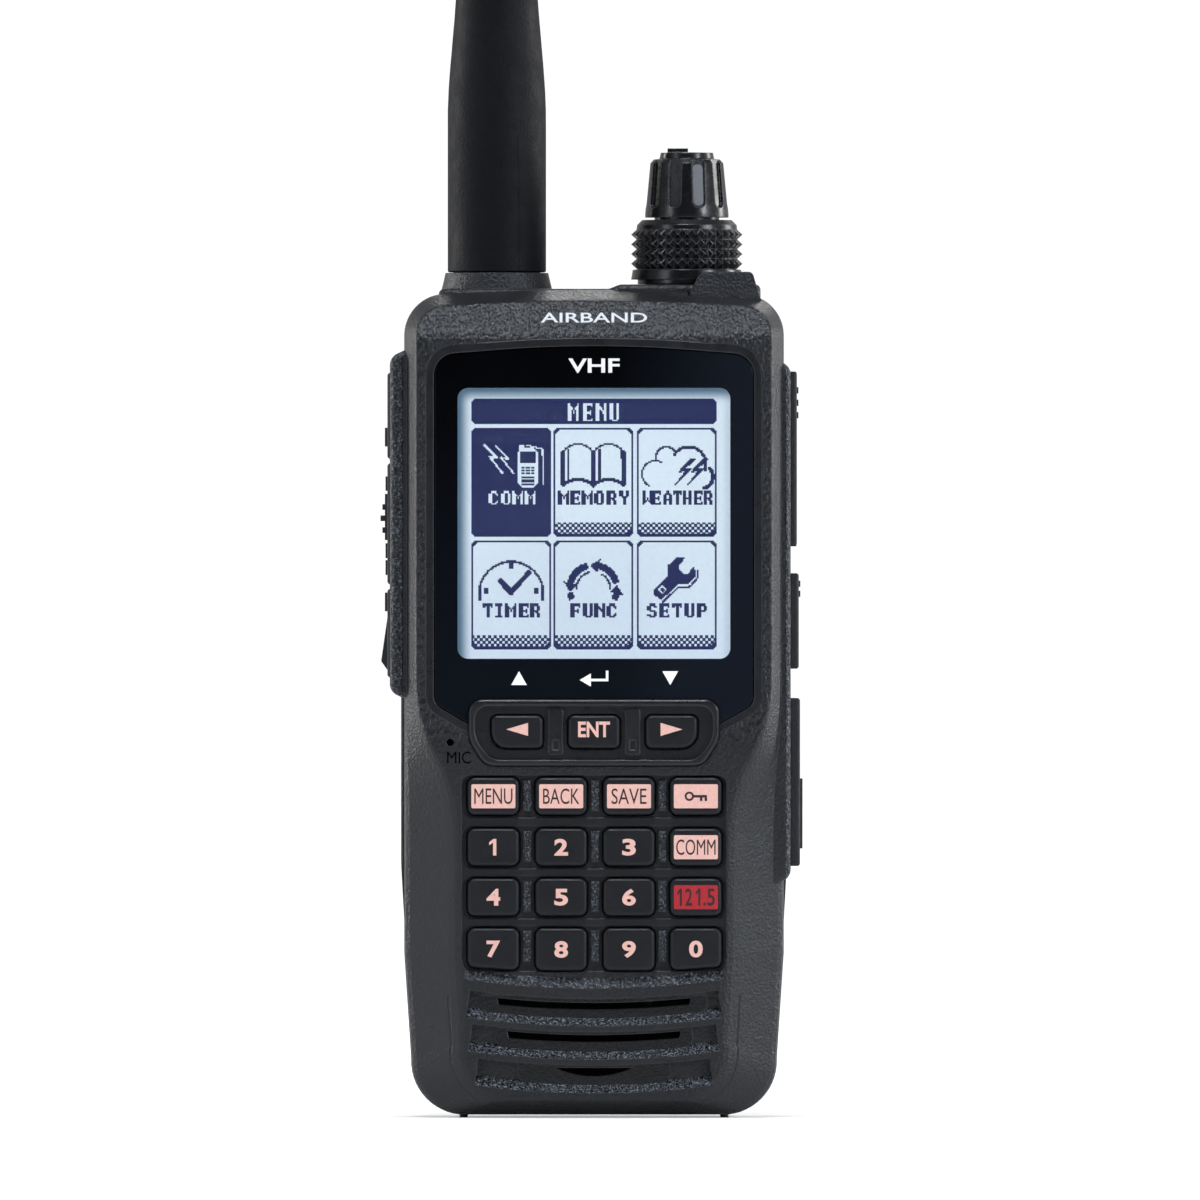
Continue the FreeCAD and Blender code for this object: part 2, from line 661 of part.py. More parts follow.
def lamp_key():
    y0, y1 = SIDE_KEY_FRONT + 1.0, SIDE_KEY_BACK - 1.0
    outline = ((-32.0, 79.6), (-33.1, 79.6), (-34.1, 72.6), (-33.1, 71.2), (-32.0, 71.2))
    points = [Vector(x, y0, z) for x, z in outline]
    wedge = Part.Face(Part.makePolygon(points + points[:1])).extrude(Vector(0, y1 - y0, 0))
    return side_key(*SIDE_KEYS["lamp_key"], [wedge, bump(33.5, 80.6, 83.6)])


def side_cover(name):
    """Rubber cover with a knuckle along its rear edge and a shallow plug on its inner face."""
    z0, z1, reach = COVERS[name]
    seat = RIGHT_POD - 0.3
    plate = side_plate(oblong(POD_FRONT + 1.3, COVER_HINGE_Y, z0, z1, 0.02), seat, reach)
    plate = soften(plate, 0.45, lambda b: b.XMin > reach - 0.001)
    knuckle = rod((0, 0, 1), COVER_KNUCKLE_R, (COVER_HINGE_X, COVER_HINGE_Y, z0), z1 - z0)
    bars = []
    if name == "usb_cover":
        bars = [box(reach - 0.2, reach + 0.4, -11.4, -5.0, 42.6, 53.8)]
    if name == "audio_cover":
        bars = [box(reach - 0.2, reach + 0.25, -11.4, -5.0, z - 0.5, z + 0.5)
                for z in (112.0, 114.0, 116.0)]
    if name == "dc_cover":
        bars = [box(reach - 0.2, reach + 0.25, -11.4, -5.0, z - 0.5, z + 0.5) for z in (83.4, 85.0)]
    return join([plate, knuckle] + bars)


# ---------------------------------------------------------------- chassis
def outline_prism(y0, y1, inset=0.0):
    return Part.Face(case_section(y0, 0.0, inset)).extrude(Vector(0, y1 - y0, 0))


def knob_ear():
    """Guard that curls round the front and the right side of the knob."""
    silhouette = [(14.9, 130.2, 0), (16.9, EAR_TOP, 2.0), (25.4, EAR_TOP, 0.9), (26.75, 130.2, 0)]
    block = front_plate(silhouette, -9.5, 9.0)
    slope = [(-9.6, 136, 0), (-8.6, 136, 0), (-9.6, 130.2, 0)]
    clear = rod((0, 0, 1), 9.8, (KNOB_X, TOP_Y, BLOCK_TOP), 10)
    behind = box(10, 30, 5.5, 10, BLOCK_TOP, 140)
    inside = box(15.0, 25.0, NOSE_FRONT + 1.2, 10, 125, BLOCK_TOP - 2.2)
    return block.cut(join_loose([clear, behind, side_plate(slope, 10, 30), inside]))


def rear_chassis():
    """Metal frame: a plate, the block at the top that carries the antenna and knob, and two heels."""
    plate = outline_prism(PARTING, PLATE_BACK)
    block = outline_prism(PARTING, BLOCK_BACK).common(box(-40, 40, -20, 30, BLOCK_BOTTOM, 150))
    block = soften(block, 2.2, lambda b: at_depth(BLOCK_BACK)(b) and b.ZMax > BLOCK_BOTTOM + 0.1)
    raised = flat_plate([(-24.9, NOSE_FRONT, 1.0), (26.7, NOSE_FRONT, 1.0),
                         (26.7, 13.4, 4.0), (-24.9, 13.4, 4.0)], 128.1, BLOCK_TOP)
    step = front_plate([(-30, LOW_TOP, 0), (2.4, LOW_TOP, 0),
                        (4.2, BLOCK_TOP, 0), (-30, BLOCK_TOP, 0)], -10, 20)
    raised = soften(raised.cut(step), 0.9, lambda b: b.ZMin > LOW_TOP - 0.001)
    collar = Part.makeCone(9.1, 8.25, 3.6, Vector(ANTENNA_X, TOP_Y, 131.3))
    dial_boss = rod((0, 0, 1), BOSS_R, (KNOB_X, TOP_Y, BLOCK_TOP - 1.0), 2.0)
    rails = [box(x - 0.8, x + 0.8, PLATE_BACK - 0.2, BATTERY_FRONT - RAIL_GAP,
                 BATTERY_BOTTOM + 0.5, BATTERY_TOP - 0.5) for x in (-RAIL_X, RAIL_X)]
    heels = outline_prism(PARTING, 13.0).common(
        join_loose([box(10.0, 24.0, 0, 14, -1, 5.2), box(-24.0, -10.0, 0, 14, -1, 5.2)]))
    bosses = [rod((0, 1, 0), 2.6, (x, 9.6, CLIP_HOLE_Z), 5) for x in (-CLIP_HOLE_X, CLIP_HOLE_X)]
    feet = [rod((0, 0, 1), 0.65, (side * 20.9, 10.5, -FOOT), 1.5) for side in (-1, 1)]

    hollow = outline_prism(PARTING - 0.1, PLATE_FRONT, WALL)
    room = outline_prism(PARTING - 0.1, 13.5, 2.0).common(box(-40, 40, -20, 30, 101.0, 130.6))
    nose_room = box(-22.0, 23.5, NOSE_FRONT + 1.3, 0, 127, 130.6)
    metal = join([plate, block, raised, collar, dial_boss, heels, knob_ear()] + rails)
    metal = metal.cut(join_loose([hollow, room, nose_room]))
    metal = join([metal] + bosses + feet)

    cuts = [seal_ring()]
    for x, z in SCREW_PLACES:
        cuts.append(rod((0, 1, 0), 1.1, (x, -2, z), 8))
        cuts.append(rod((0, 1, 0), 2.0, (x, 3.2, z), 3))
    for x in (-CLIP_HOLE_X, CLIP_HOLE_X):
        cuts.append(rod((0, 1, 0), CLIP_HOLE_R, (x, BLOCK_BACK - 5.0, CLIP_HOLE_Z), 8))
    cuts += hook_slots()
    cuts += [terminal_block(x) for x in TERMINALS]
    cuts.append(rod((0, 0, 1), 4.6, (KNOB_X, TOP_Y, 125), 12))
    cuts.append(rod((0, 0, 1), 5.0, (ANTENNA_X, TOP_Y, 125), 12))
    # Room for the latch, and the bore for its pin.
    cuts.append(box(-9.7, 9.7, -1.5, 14, -2, 5.4))
    cuts.append(rod((1, 0, 0), 0.8, (-12.0, LATCH_Y, LATCH_Z), 24.0))
    return metal.cut(join_loose(cuts))


def seal_ring():
    """Gasket in the parting line. It stops where the chassis block comes up through the top."""
    ring = outline_prism(PARTING, PARTING + 0.8, 0.5)
    gap = box(-25.2, 27.0, PARTING - 0.1, PARTING + 0.9, 128.0, 140)
    return ring.cut(join_loose([outline_prism(PARTING - 0.1, PARTING + 0.9, 1.1), gap]))


def case_screws():
    screws = []
    for x, z in SCREW_PLACES:
        head = rod((0, 1, 0), 1.9, (x, 3.2, z), 1.2)
        shank = rod((0, 1, 0), 0.9, (x, -8.5, z), 11.8)
        drive = join_loose([box(x - 1.1, x + 1.1, 3.8, 5, z - 0.25, z + 0.25),
                            box(x - 0.25, x + 0.25, 3.8, 5, z - 1.1, z + 1.1)])
        screws.append(join([head, shank]).cut(drive))
    return Part.makeCompound(screws)


TERMINALS = (-6.0, 0.0, 6.0)


def terminal_block(x):
    return box(x - 1.2, x + 1.2, 0.6, PLATE_BACK, 66.0, 71.0)


def battery_terminals():
    return Part.makeCompound([terminal_block(x) for x in TERMINALS])


# ---------------------------------------------------------------- battery and latch
def hook_slots():
    """Keyhole slots: each hook goes in at the wide end and slides up under the lips."""
    slots = []
    for side in (-1, 1):
        for z in HOOK_ROWS:
            x = side * HOOK_X
            slots.append(box(x - 2.8, x + 2.8, 1.8, 3.45, z - 4.7, z + 1.7))
            slots.append(box(x - 1.75, x + 1.75, 3.0, 5, z - 4.7, z + 1.7))
            slots.append(box(x - 2.8, x + 2.8, 3.0, 5, z - 4.7, z - 1.6))
    return slots


def hooks():
    pieces = []
    for side in (-1, 1):
        for z in HOOK_ROWS:
            x = side * HOOK_X
            pieces.append(box(x - 2.5, x + 2.5, 2.1, 3.2, z - 1.4, z + 1.4))
            pieces.append(box(x - 1.5, x + 1.5, 3.0, BATTERY_FRONT + 0.5, z - 1.4, z + 1.4))
    return pieces


def battery_lid():
    lid = front_plate(oblong(-28.6, 28.6, 12.0, 94.5, 2.0), BATTERY_FRONT, BATTERY_FRONT + 1.3)
    pads = [box(x - 1.6, x + 1.6, BATTERY_FRONT + 1.2, BATTERY_FRONT + 1.9, 65.0, 72.0)
            for x in TERMINALS]
    return join([lid] + hooks() + pads)


def battery_case():
    """Battery housing, open towards the chassis, with a skirt that hides the latch."""
    half = BATTERY_HALF
    body = flat_plate([(-half, BATTERY_FRONT, 0.6), (half, BATTERY_FRONT, 0.6), (half, BATTERY_BACK, 4.5),
                       (-half, BATTERY_BACK, 4.5)], BATTERY_BOTTOM, BATTERY_TOP)
    body = soften(body, 1.2, lambda b: b.ZMin > BATTERY_TOP - 0.001)
    foot = BATTERY_FOOT_HALF
    face = [(-half, BATTERY_TOP, 0), (half, BATTERY_TOP, 0), (half, BATTERY_TAPER, 40.0),
            (foot, BATTERY_BOTTOM, 2.5), (-foot, BATTERY_BOTTOM, 2.5), (-half, BATTERY_TAPER, 40.0)]
    body = body.common(front_plate(face, BATTERY_FRONT, BATTERY_BACK))
    skirt = front_plate([(-27.5, 12.0, 0), (27.5, 12.0, 0), (25.0, 4.5, 2.0), (-25.0, 4.5, 2.0)],
                        14.2, BATTERY_BACK)
    notch = front_plate([(-10.5, 7.6, 1.5), (10.5, 7.6, 1.5), (10.5, 0, 0), (-10.5, 0, 0)], 13, 19)
    grips = [box(-16, 16, BATTERY_BACK - 0.5, BATTERY_BACK + 1, z - 0.7, z + 0.7)
             for z in (18, 22, 26, 30)]
    panel = front_plate(oblong(-21, 21, 40, 86, 3.0), BATTERY_BACK - 0.4, BATTERY_BACK + 1)
    lid_seat = front_plate(oblong(-28.6, 28.6, 12.0, 94.5, 2.0), BATTERY_FRONT - 1, BATTERY_FRONT + 1.3)
    inside = box(-27.4, 27.4, BATTERY_FRONT, BATTERY_BACK - 1.6, 13.2, 93.3)
    return join([body, skirt]).cut(join_loose([notch, lid_seat, inside, panel] + grips))


def battery_cells():
    """Two flat cells side by side."""
    cells = []
    for x0, x1 in ((-27.0, -0.4), (0.4, 27.0)):
        cells.append(flat_plate(oblong(x0, x1, 7.2, 15.6, 3.0), 14.0, 92.5))
    return Part.makeCompound(cells)


def battery_latch():
    """Flap hinged at the foot of the chassis. Its web stops the battery from sliding down."""
    half = LATCH_HALF
    barrel = rod((1, 0, 0), 1.6, (-half, LATCH_Y, LATCH_Z), 2 * half)
    flap = box(-half, half, LATCH_Y, 15.6, 1.4, 3.4)
    web = box(-6.0, 6.0, 5.5, 8.0, 3.2, BATTERY_BOTTOM - 0.3)
    tab = box(-half, half, 14.4, 16.6, 1.4, 5.6)
    grooves = [box(-half + 1.5, half - 1.5, 16.3, 17, z - 0.25, z + 0.25) for z in (2.4, 3.4, 4.4)]
    bore = rod((1, 0, 0), 0.84, (-15, LATCH_Y, LATCH_Z), 30)
    return join([barrel, flap, web, tab]).cut(join_loose([bore] + grooves))


def latch_pin():
    return rod((1, 0, 0), 0.8, (-12.0, LATCH_Y, LATCH_Z), 24.0)


# ---------------------------------------------------------------- controls on top
def control_body():
    """Twin rotary control: a square body and the threaded bush that passes through the chassis."""
    body = box(KNOB_X - 6, KNOB_X + 6, TOP_Y - 4.5, TOP_Y + 6, 118.0, 128.5)
    bush = rod((0, 0, 1), 4.5, (KNOB_X, TOP_Y, 128.0), 5.0)
    bore = rod((0, 0, 1), 3.05, (KNOB_X, TOP_Y, 126.0), 10)
    return join([body, bush]).cut(bore)


def dial_sleeve():
    """Hollow shaft of the outer dial."""
    tube = rod((0, 0, 1), 3.0, (KNOB_X, TOP_Y, 126.4), 16.6)
    return tube.cut(rod((0, 0, 1), 1.55, (KNOB_X, TOP_Y, 126.0), 20))


def volume_shaft():
    return rod((0, 0, 1), 1.5, (KNOB_X, TOP_Y, 126.8), 24.2)


def dial_ring():
    """Knurled outer dial with its flange and neck."""
    profile = [(3.0, 134.2), (BOSS_R + 0.2, 134.2),
               (BOSS_R + 0.2, BLOCK_TOP + 0.12), (7.9, BLOCK_TOP + 0.12),
               (7.9, 133.85), (8.95, 133.85), (8.7, 135.4), (7.9, 135.5)]
    row = 1.56
    z = 135.6
    for _ in range(4):
        profile += [(8.1, z), (8.95, z + row / 2), (8.1, z + row)]
        z += row
        profile.append((8.1, z))
    profile = [p for k, p in enumerate(profile) if k == 0 or p != profile[k - 1]]
    profile += [(8.0, 142.6), (7.2, 143.4), (HUB_R, 143.4), (HUB_R, HUB_TOP), (3.0, HUB_TOP)]
    ring = turned(profile, KNOB_X, TOP_Y)
    count = 36
    grooves = []
    for k in range(count):
        angle = 360 * (k + 0.5) / count
        wedge = flat_plate([(8.05, 0, 0), (9.4, 0.95, 0), (9.4, -0.95, 0)], 135.6, 142.0)
        wedge.rotate(Vector(0, 0, 0), Vector(0, 0, 1), angle)
        wedge.translate(Vector(KNOB_X, TOP_Y, 0))
        grooves.append(wedge)
    return ring.cut(join_loose(grooves))


def volume_knob():
    """Tapered knob with ten round-ended flutes and a raised pointer on its cap."""
    low, high = 143.8, 153.0
    knob = turned([(0, low), (6.7, low), (6.7, low + 0.6), (5.95, high - 0.5),
                   (5.4, high + 0.1), (4.4, high + 0.25),
                   (4.2, 154.2), (0, 154.3)], KNOB_X, TOP_Y)
    tilt = math.degrees(math.atan(0.75 / 8.1))
    flutes = []
    for k in range(10):
        flute = front_plate(oblong(-1.05, 1.05, low + 1.5, high + 1.0, 0.9), -8.5, -6.1)
        flute.rotate(Vector(0, -6.1, low + 1.5), Vector(1, 0, 0), -tilt)
        flute.rotate(Vector(0, 0, 0), Vector(0, 0, 1), 18 + 36 * k)
        flute.translate(Vector(KNOB_X, TOP_Y, 0))
        flutes.append(flute)
    pointer = box(KNOB_X - 3.1, KNOB_X + 0.2, TOP_Y - 0.9, TOP_Y + 0.9, 153.5, 154.9)
    bore = rod((0, 0, 1), 1.5, (KNOB_X, TOP_Y, 140), 11.0)
    recess = rod((0, 0, 1), HUB_R + 0.2, (KNOB_X, TOP_Y, 140), HUB_TOP + 0.2 - 140)
    return join([knob.cut(join_loose(flutes)), pointer]).cut(join_loose([bore, recess]))


# ---------------------------------------------------------------- antenna
PLUG_R = 2.0
ANTENNA_TIP = (4.6, 294.0)      # radius and height where the tip starts to round


def antenna_connector():
    """Coaxial socket in the chassis, with the stub that the antenna screws onto."""
    flange = rod((0, 0, 1), 4.8, (ANTENNA_X, TOP_Y, 129.0), 3.2)
    stub = rod((0, 0, 1), 3.1, (ANTENNA_X, TOP_Y, 132.0), 6.5)
    tail = rod((0, 0, 1), 1.2, (ANTENNA_X, TOP_Y, 120.0), 9.5)
    bore = rod((0, 0, 1), PLUG_R, (ANTENNA_X, TOP_Y, 134.0), 10)
    return join([flange, stub, tail]).cut(bore)


def antenna_seal():
    """Rubber ring squeezed between the antenna and the chassis collar."""
    ring = rod((0, 0, 1), 7.0, (ANTENNA_X, TOP_Y, 134.95), 0.35)
    return ring.cut(rod((0, 0, 1), 5.4, (ANTENNA_X, TOP_Y, 134), 3))


def antenna_nut():
    """Metal insert with the thread and the centre contact."""
    body = rod((0, 0, 1), 5.0, (ANTENNA_X, TOP_Y, 135.4), 8.6)
    bore = rod((0, 0, 1), 3.16, (ANTENNA_X, TOP_Y, 135), 4.2)
    contact = rod((0, 0, 1), 0.5, (ANTENNA_X, TOP_Y, 136.4), 3.5)
    return join([body.cut(bore), contact])


def antenna_profile():
    """Outer shape of the sheath, from the shoulder to the tip."""
    curve = Part.BSplineCurve()
    shape = ((7.9, 158.0), (7.86, 162.0), (7.05, 173.0), (6.0, 188.0),
             (5.35, 210.0), (4.95, 250.0), ANTENNA_TIP)
    curve.interpolate([Vector(ANTENNA_X + r, TOP_Y, z) for r, z in shape])
    return curve.toShape()


def antenna_sheath():
    x, y = ANTENNA_X, TOP_Y

    def p(r, z):
        return Vector(x + r, y, z)

    tip_r, tip_z = ANTENNA_TIP
    d = math.sqrt(0.5)
    edges = [
        Part.LineSegment(p(0, 135.4), p(7.15, 135.4)).toShape(),
        Part.LineSegment(p(7.15, 135.4), p(7.15, 135.0)).toShape(),
        Part.LineSegment(p(7.15, 135.0), p(7.7, 135.0)).toShape(),
        Part.LineSegment(p(7.7, 135.0), p(7.9, 135.2)).toShape(),
        Part.LineSegment(p(7.9, 135.2), p(7.9, 158.0)).toShape(),
        antenna_profile(),
        Part.Arc(p(tip_r, tip_z), p(tip_r * d, tip_z + tip_r * d), p(0, tip_z + tip_r)).toShape(),
        Part.LineSegment(p(0, tip_z + tip_r), p(0, 135.4)).toShape(),
    ]
    body = Part.Face(Part.Wire(edges)).revolve(Vector(x, y, 0), Vector(0, 0, 1), 360)
    seat = rod((0, 0, 1), 5.0, (x, y, 135), 9.0)
    core_hole = rod((0, 0, 1), 2.4, (x, y, 143), 142.0)
    return body.cut(join_loose([seat, core_hole]))


def antenna_coil():
    """Wound radiator on its former, as one closed rod."""
    return rod((0, 0, 1), 2.4, (ANTENNA_X, TOP_Y, 144.0), 140.0)


# ---------------------------------------------------------------- all nodes
def build():
    nodes = {
        "front_case": front_case(), "rear_chassis": rear_chassis(), "case_seal": seal_ring(),
        "lens_frame": lens_frame(), "display_lens": display_lens(), "lcd_panel": lcd_panel(),
        "backlight_unit": backlight_unit(), "nav_bezel": nav_bezel(), "keypad_mat": keypad_mat(),
        "key_board": key_board(), "main_board": main_board(), "shield_cans": shield_cans(),
        "speaker": speaker(), "microphone": microphone(), "side_switch_board": side_switch_board(),
        "audio_jacks": audio_jacks(), "dc_jack": dc_jack(), "usb_socket": usb_socket(),
        "monitor_key": monitor_key(), "ptt_key": ptt_key(), "lamp_key": lamp_key(),
        "case_screws": case_screws(), "battery_terminals": battery_terminals(),
        "battery_case": battery_case(), "battery_lid": battery_lid(), "battery_cells": battery_cells(),
        "battery_latch": battery_latch(), "latch_pin": latch_pin(),
        "control_body": control_body(), "dial_sleeve": dial_sleeve(), "volume_shaft": volume_shaft(),
        "dial_ring": dial_ring(), "volume_knob": volume_knob(),
        "antenna_connector": antenna_connector(), "antenna_seal": antenna_seal(),
        "antenna_nut": antenna_nut(), "antenna_sheath": antenna_sheath(), "antenna_coil": antenna_coil(),
    }
    for name in COVERS:
        nodes[name] = side_cover(name)
    flanges = all_key_outlines(KEY_FLANGE)
    for name, outline in all_key_outlines().items():
        nodes[name] = key(outline, flanges[name])
    return nodes


def main():
    os.makedirs("parts", exist_ok=True)
    for name, shape in build().items():
        shape.translate(Vector(0, 0, FOOT))
        shape.exportStep("parts/" + name + ".step")
        print(name, shape.isValid(), len(shape.Solids), round(shape.Volume, 2))


main()
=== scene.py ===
"""Looks of the handheld aviation radio: materials for the CAD nodes, legends, labels and the display."""

import json
import math

import bmesh
import bpy
import numpy as np
from mathutils import Matrix, Vector


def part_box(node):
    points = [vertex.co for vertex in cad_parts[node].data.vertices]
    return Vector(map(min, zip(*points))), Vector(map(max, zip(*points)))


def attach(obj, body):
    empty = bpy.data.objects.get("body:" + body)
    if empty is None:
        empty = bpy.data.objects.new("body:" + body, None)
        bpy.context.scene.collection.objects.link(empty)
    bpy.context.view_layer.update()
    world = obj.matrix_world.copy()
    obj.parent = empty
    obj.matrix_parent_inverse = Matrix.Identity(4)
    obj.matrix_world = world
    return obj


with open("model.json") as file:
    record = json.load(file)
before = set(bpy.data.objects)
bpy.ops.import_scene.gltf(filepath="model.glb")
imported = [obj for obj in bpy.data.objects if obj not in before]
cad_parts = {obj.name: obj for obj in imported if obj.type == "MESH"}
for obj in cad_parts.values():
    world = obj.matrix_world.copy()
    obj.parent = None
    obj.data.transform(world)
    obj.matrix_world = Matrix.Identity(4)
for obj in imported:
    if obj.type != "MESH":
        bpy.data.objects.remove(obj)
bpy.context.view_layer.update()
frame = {"nodes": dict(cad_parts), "record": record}

MM = 0.001
NODES = frame["nodes"]
SCENE = bpy.context.scene


# ---------------------------------------------------------------- places read from the frame
def middle(node):
    low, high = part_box(node)
    return (low + high) / 2


FOOT = 0.5 * MM                         # the case bottom is this far above the table
LENS_FRONT, LENS_BACK = (corner.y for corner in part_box("display_lens"))
LCD_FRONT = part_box("lcd_panel")[0].y
KEY_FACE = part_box("digit_5_key")[0].y   # the front of every key
FACE_Y = -17.5 * MM                     # flat front of the case
PAD_DEPTH = 16.45 * MM                  # the louvres' smooth pads lie this far in front of y = 0
RIB_DEPTH = 16.95 * MM                  # the ribs between the keys lie this far in front of y = 0
PRINT = 0.04 * MM                       # thickness of a printed or inlaid mark
SINK = 0.03 * MM                        # a mark starts this far in front of the face that carries it


# ---------------------------------------------------------------- shader helpers
class Shader:
    """A node material with short ways to add and join nodes."""

    def __init__(self, name, colour=(0.5, 0.5, 0.5), rough=0.5, **fixed):
        self.material = bpy.data.materials.new(name)
        self.material.use_nodes = True
        self.tree = self.material.node_tree
        self.bsdf = self.tree.nodes["Principled BSDF"]
        self.bsdf.inputs["Base Color"].default_value = (*colour, 1)
        self.bsdf.inputs["Roughness"].default_value = rough
        for key, value in fixed.items():
            self.bsdf.inputs[key.replace("_", " ")].default_value = value
        self.material.diffuse_color = (*colour, 1)

    def add(self, kind, props=None, **inputs):
        node = self.tree.nodes.new("ShaderNode" + kind)
        for key, value in (props or {}).items():
            setattr(node, key, value)
        for key, value in inputs.items():
            self.put(node.inputs[int(key[1:]) if key[0] == "i" and key[1:].isdigit() else key], value)
        return node

    def put(self, socket, value):
        if isinstance(value, bpy.types.NodeSocket):
            self.tree.links.new(value, socket)
        else:
            socket.default_value = value

    def math(self, operation, a, b=0.0):
        return self.add("Math", {"operation": operation}, i0=a, i1=b).outputs[0]

    def most(self, first, *others):
        for value in others:
            first = self.math("MAXIMUM", first, value)
        return first

    def ramp(self, value, low, high, to_low=0.0, to_high=1.0):
        """Smooth step of value from low..high to to_low..to_high."""
        node = self.add("MapRange", {"interpolation_type": "SMOOTHSTEP"})
        for socket, v in zip(node.inputs[:5], (value, low, high, to_low, to_high)):
            self.put(socket, v)
        return node.outputs[0]

    def mix(self, factor, a, b):
        node = self.add("Mix", {"data_type": "FLOAT"})
        for socket, v in zip((node.inputs[0], node.inputs[2], node.inputs[3]), (factor, a, b)):
            self.put(socket, v)
        return node.outputs[0]

    def blend(self, factor, a, b, mode="MIX"):
        node = self.add("Mix", {"data_type": "RGBA", "blend_type": mode})
        for socket, v in zip((node.inputs[0], node.inputs[6], node.inputs[7]), (factor, a, b)):
            self.put(socket, v)
        return node.outputs[2]

    def where(self):
        return self.add("TexCoord").outputs["Object"]

    def axes(self, vector):
        node = self.add("SeparateXYZ", None, Vector=vector)
        return node.outputs[0], node.outputs[1], node.outputs[2]

    def product(self, first, *others):
        for value in others:
            first = self.math("MULTIPLY", first, value)
        return first

    def noise(self, size, detail=3.0, roughness=0.55, vector=None):
        node = self.add("TexNoise", None, Vector=vector or self.where(), Scale=1 / size,
                        Detail=detail, Roughness=roughness)
        return node.outputs[0]

    def cells(self, size, vector=None):
        node = self.add("TexVoronoi", {"feature": "SMOOTH_F1"}, Vector=vector or self.where(),
                        Scale=1 / size)
        return node.outputs[0]

    def tinted(self, colour, factor):
        """Colour times a grey factor."""
        grey = self.add("CombineColor", None, i0=factor, i1=factor, i2=factor).outputs[0]
        return self.blend(1.0, (*colour, 1), grey, "MULTIPLY")

    def soft_edges(self, radius):
        return self.add("Bevel", {"samples": 6}, Radius=radius).outputs[0]

    def edge_mask(self, soft):
        """1 where the softened normal leaves the true one, which is along edges."""
        flat = self.add("NewGeometry").outputs["Normal"]
        node = self.add("VectorMath", {"operation": "DOT_PRODUCT"}, i0=soft, i1=flat)
        return self.ramp(node.outputs["Value"], 0.995, 0.90)

    def bump(self, height, normal=None):
        """Bump whose height is in metres."""
        node = self.add("Bump", None, Height=height, Strength=1.0, Distance=1.0)
        if normal is not None:
            self.put(node.inputs["Normal"], normal)
        self.put(self.bsdf.inputs["Normal"], node.outputs[0])

    def colour(self, value):
        self.put(self.bsdf.inputs["Base Color"], value)

    def rough(self, value):
        self.put(self.bsdf.inputs["Roughness"], value)


def grain_height(s, cell, depth, vector=None):
    """Leather-like moulding grain: rounded cells broken up by finer noise, in metres."""
    pebbles = s.ramp(s.cells(cell, vector), 0.05, 0.75, 1.0, 0.0)
    fine = s.noise(cell * 0.45, 2.0, 0.6, vector)
    both = s.math("ADD", s.math("MULTIPLY", pebbles, 0.6), s.math("MULTIPLY", fine, 0.5))
    return s.math("MULTIPLY", both, depth)


def moulded(name, colour, cell, depth, rough, edge=1.5, radius=0.2 * MM, shine=0.38):
    """Moulded plastic or rubber with grain and faint blotches; its edges are painted lighter,
    partly as wear from handling and partly as a painted highlight.
    """
    s = Shader(name, colour, rough, Specular_IOR_Level=shine)
    soft = s.soft_edges(radius)
    edge_wear_and_highlight = s.edge_mask(soft)
    blotch = s.ramp(s.noise(9 * MM, 4.0), 0.3, 0.7, 0.88, 1.12)
    wear_and_highlight_colour = tuple(min(1.0, c * edge) for c in colour)
    # edges lighter by the factor edge: partly wear, partly a painted highlight
    s.colour(s.blend(s.math("MULTIPLY", edge_wear_and_highlight, 0.6), s.tinted(colour, blotch), (*wear_and_highlight_colour, 1)))
    s.rough(s.ramp(s.noise(2.5 * MM, 3.0), 0.3, 0.7, rough - 0.05, rough + 0.06))
    s.bump(grain_height(s, cell, depth), soft)
    return s.material


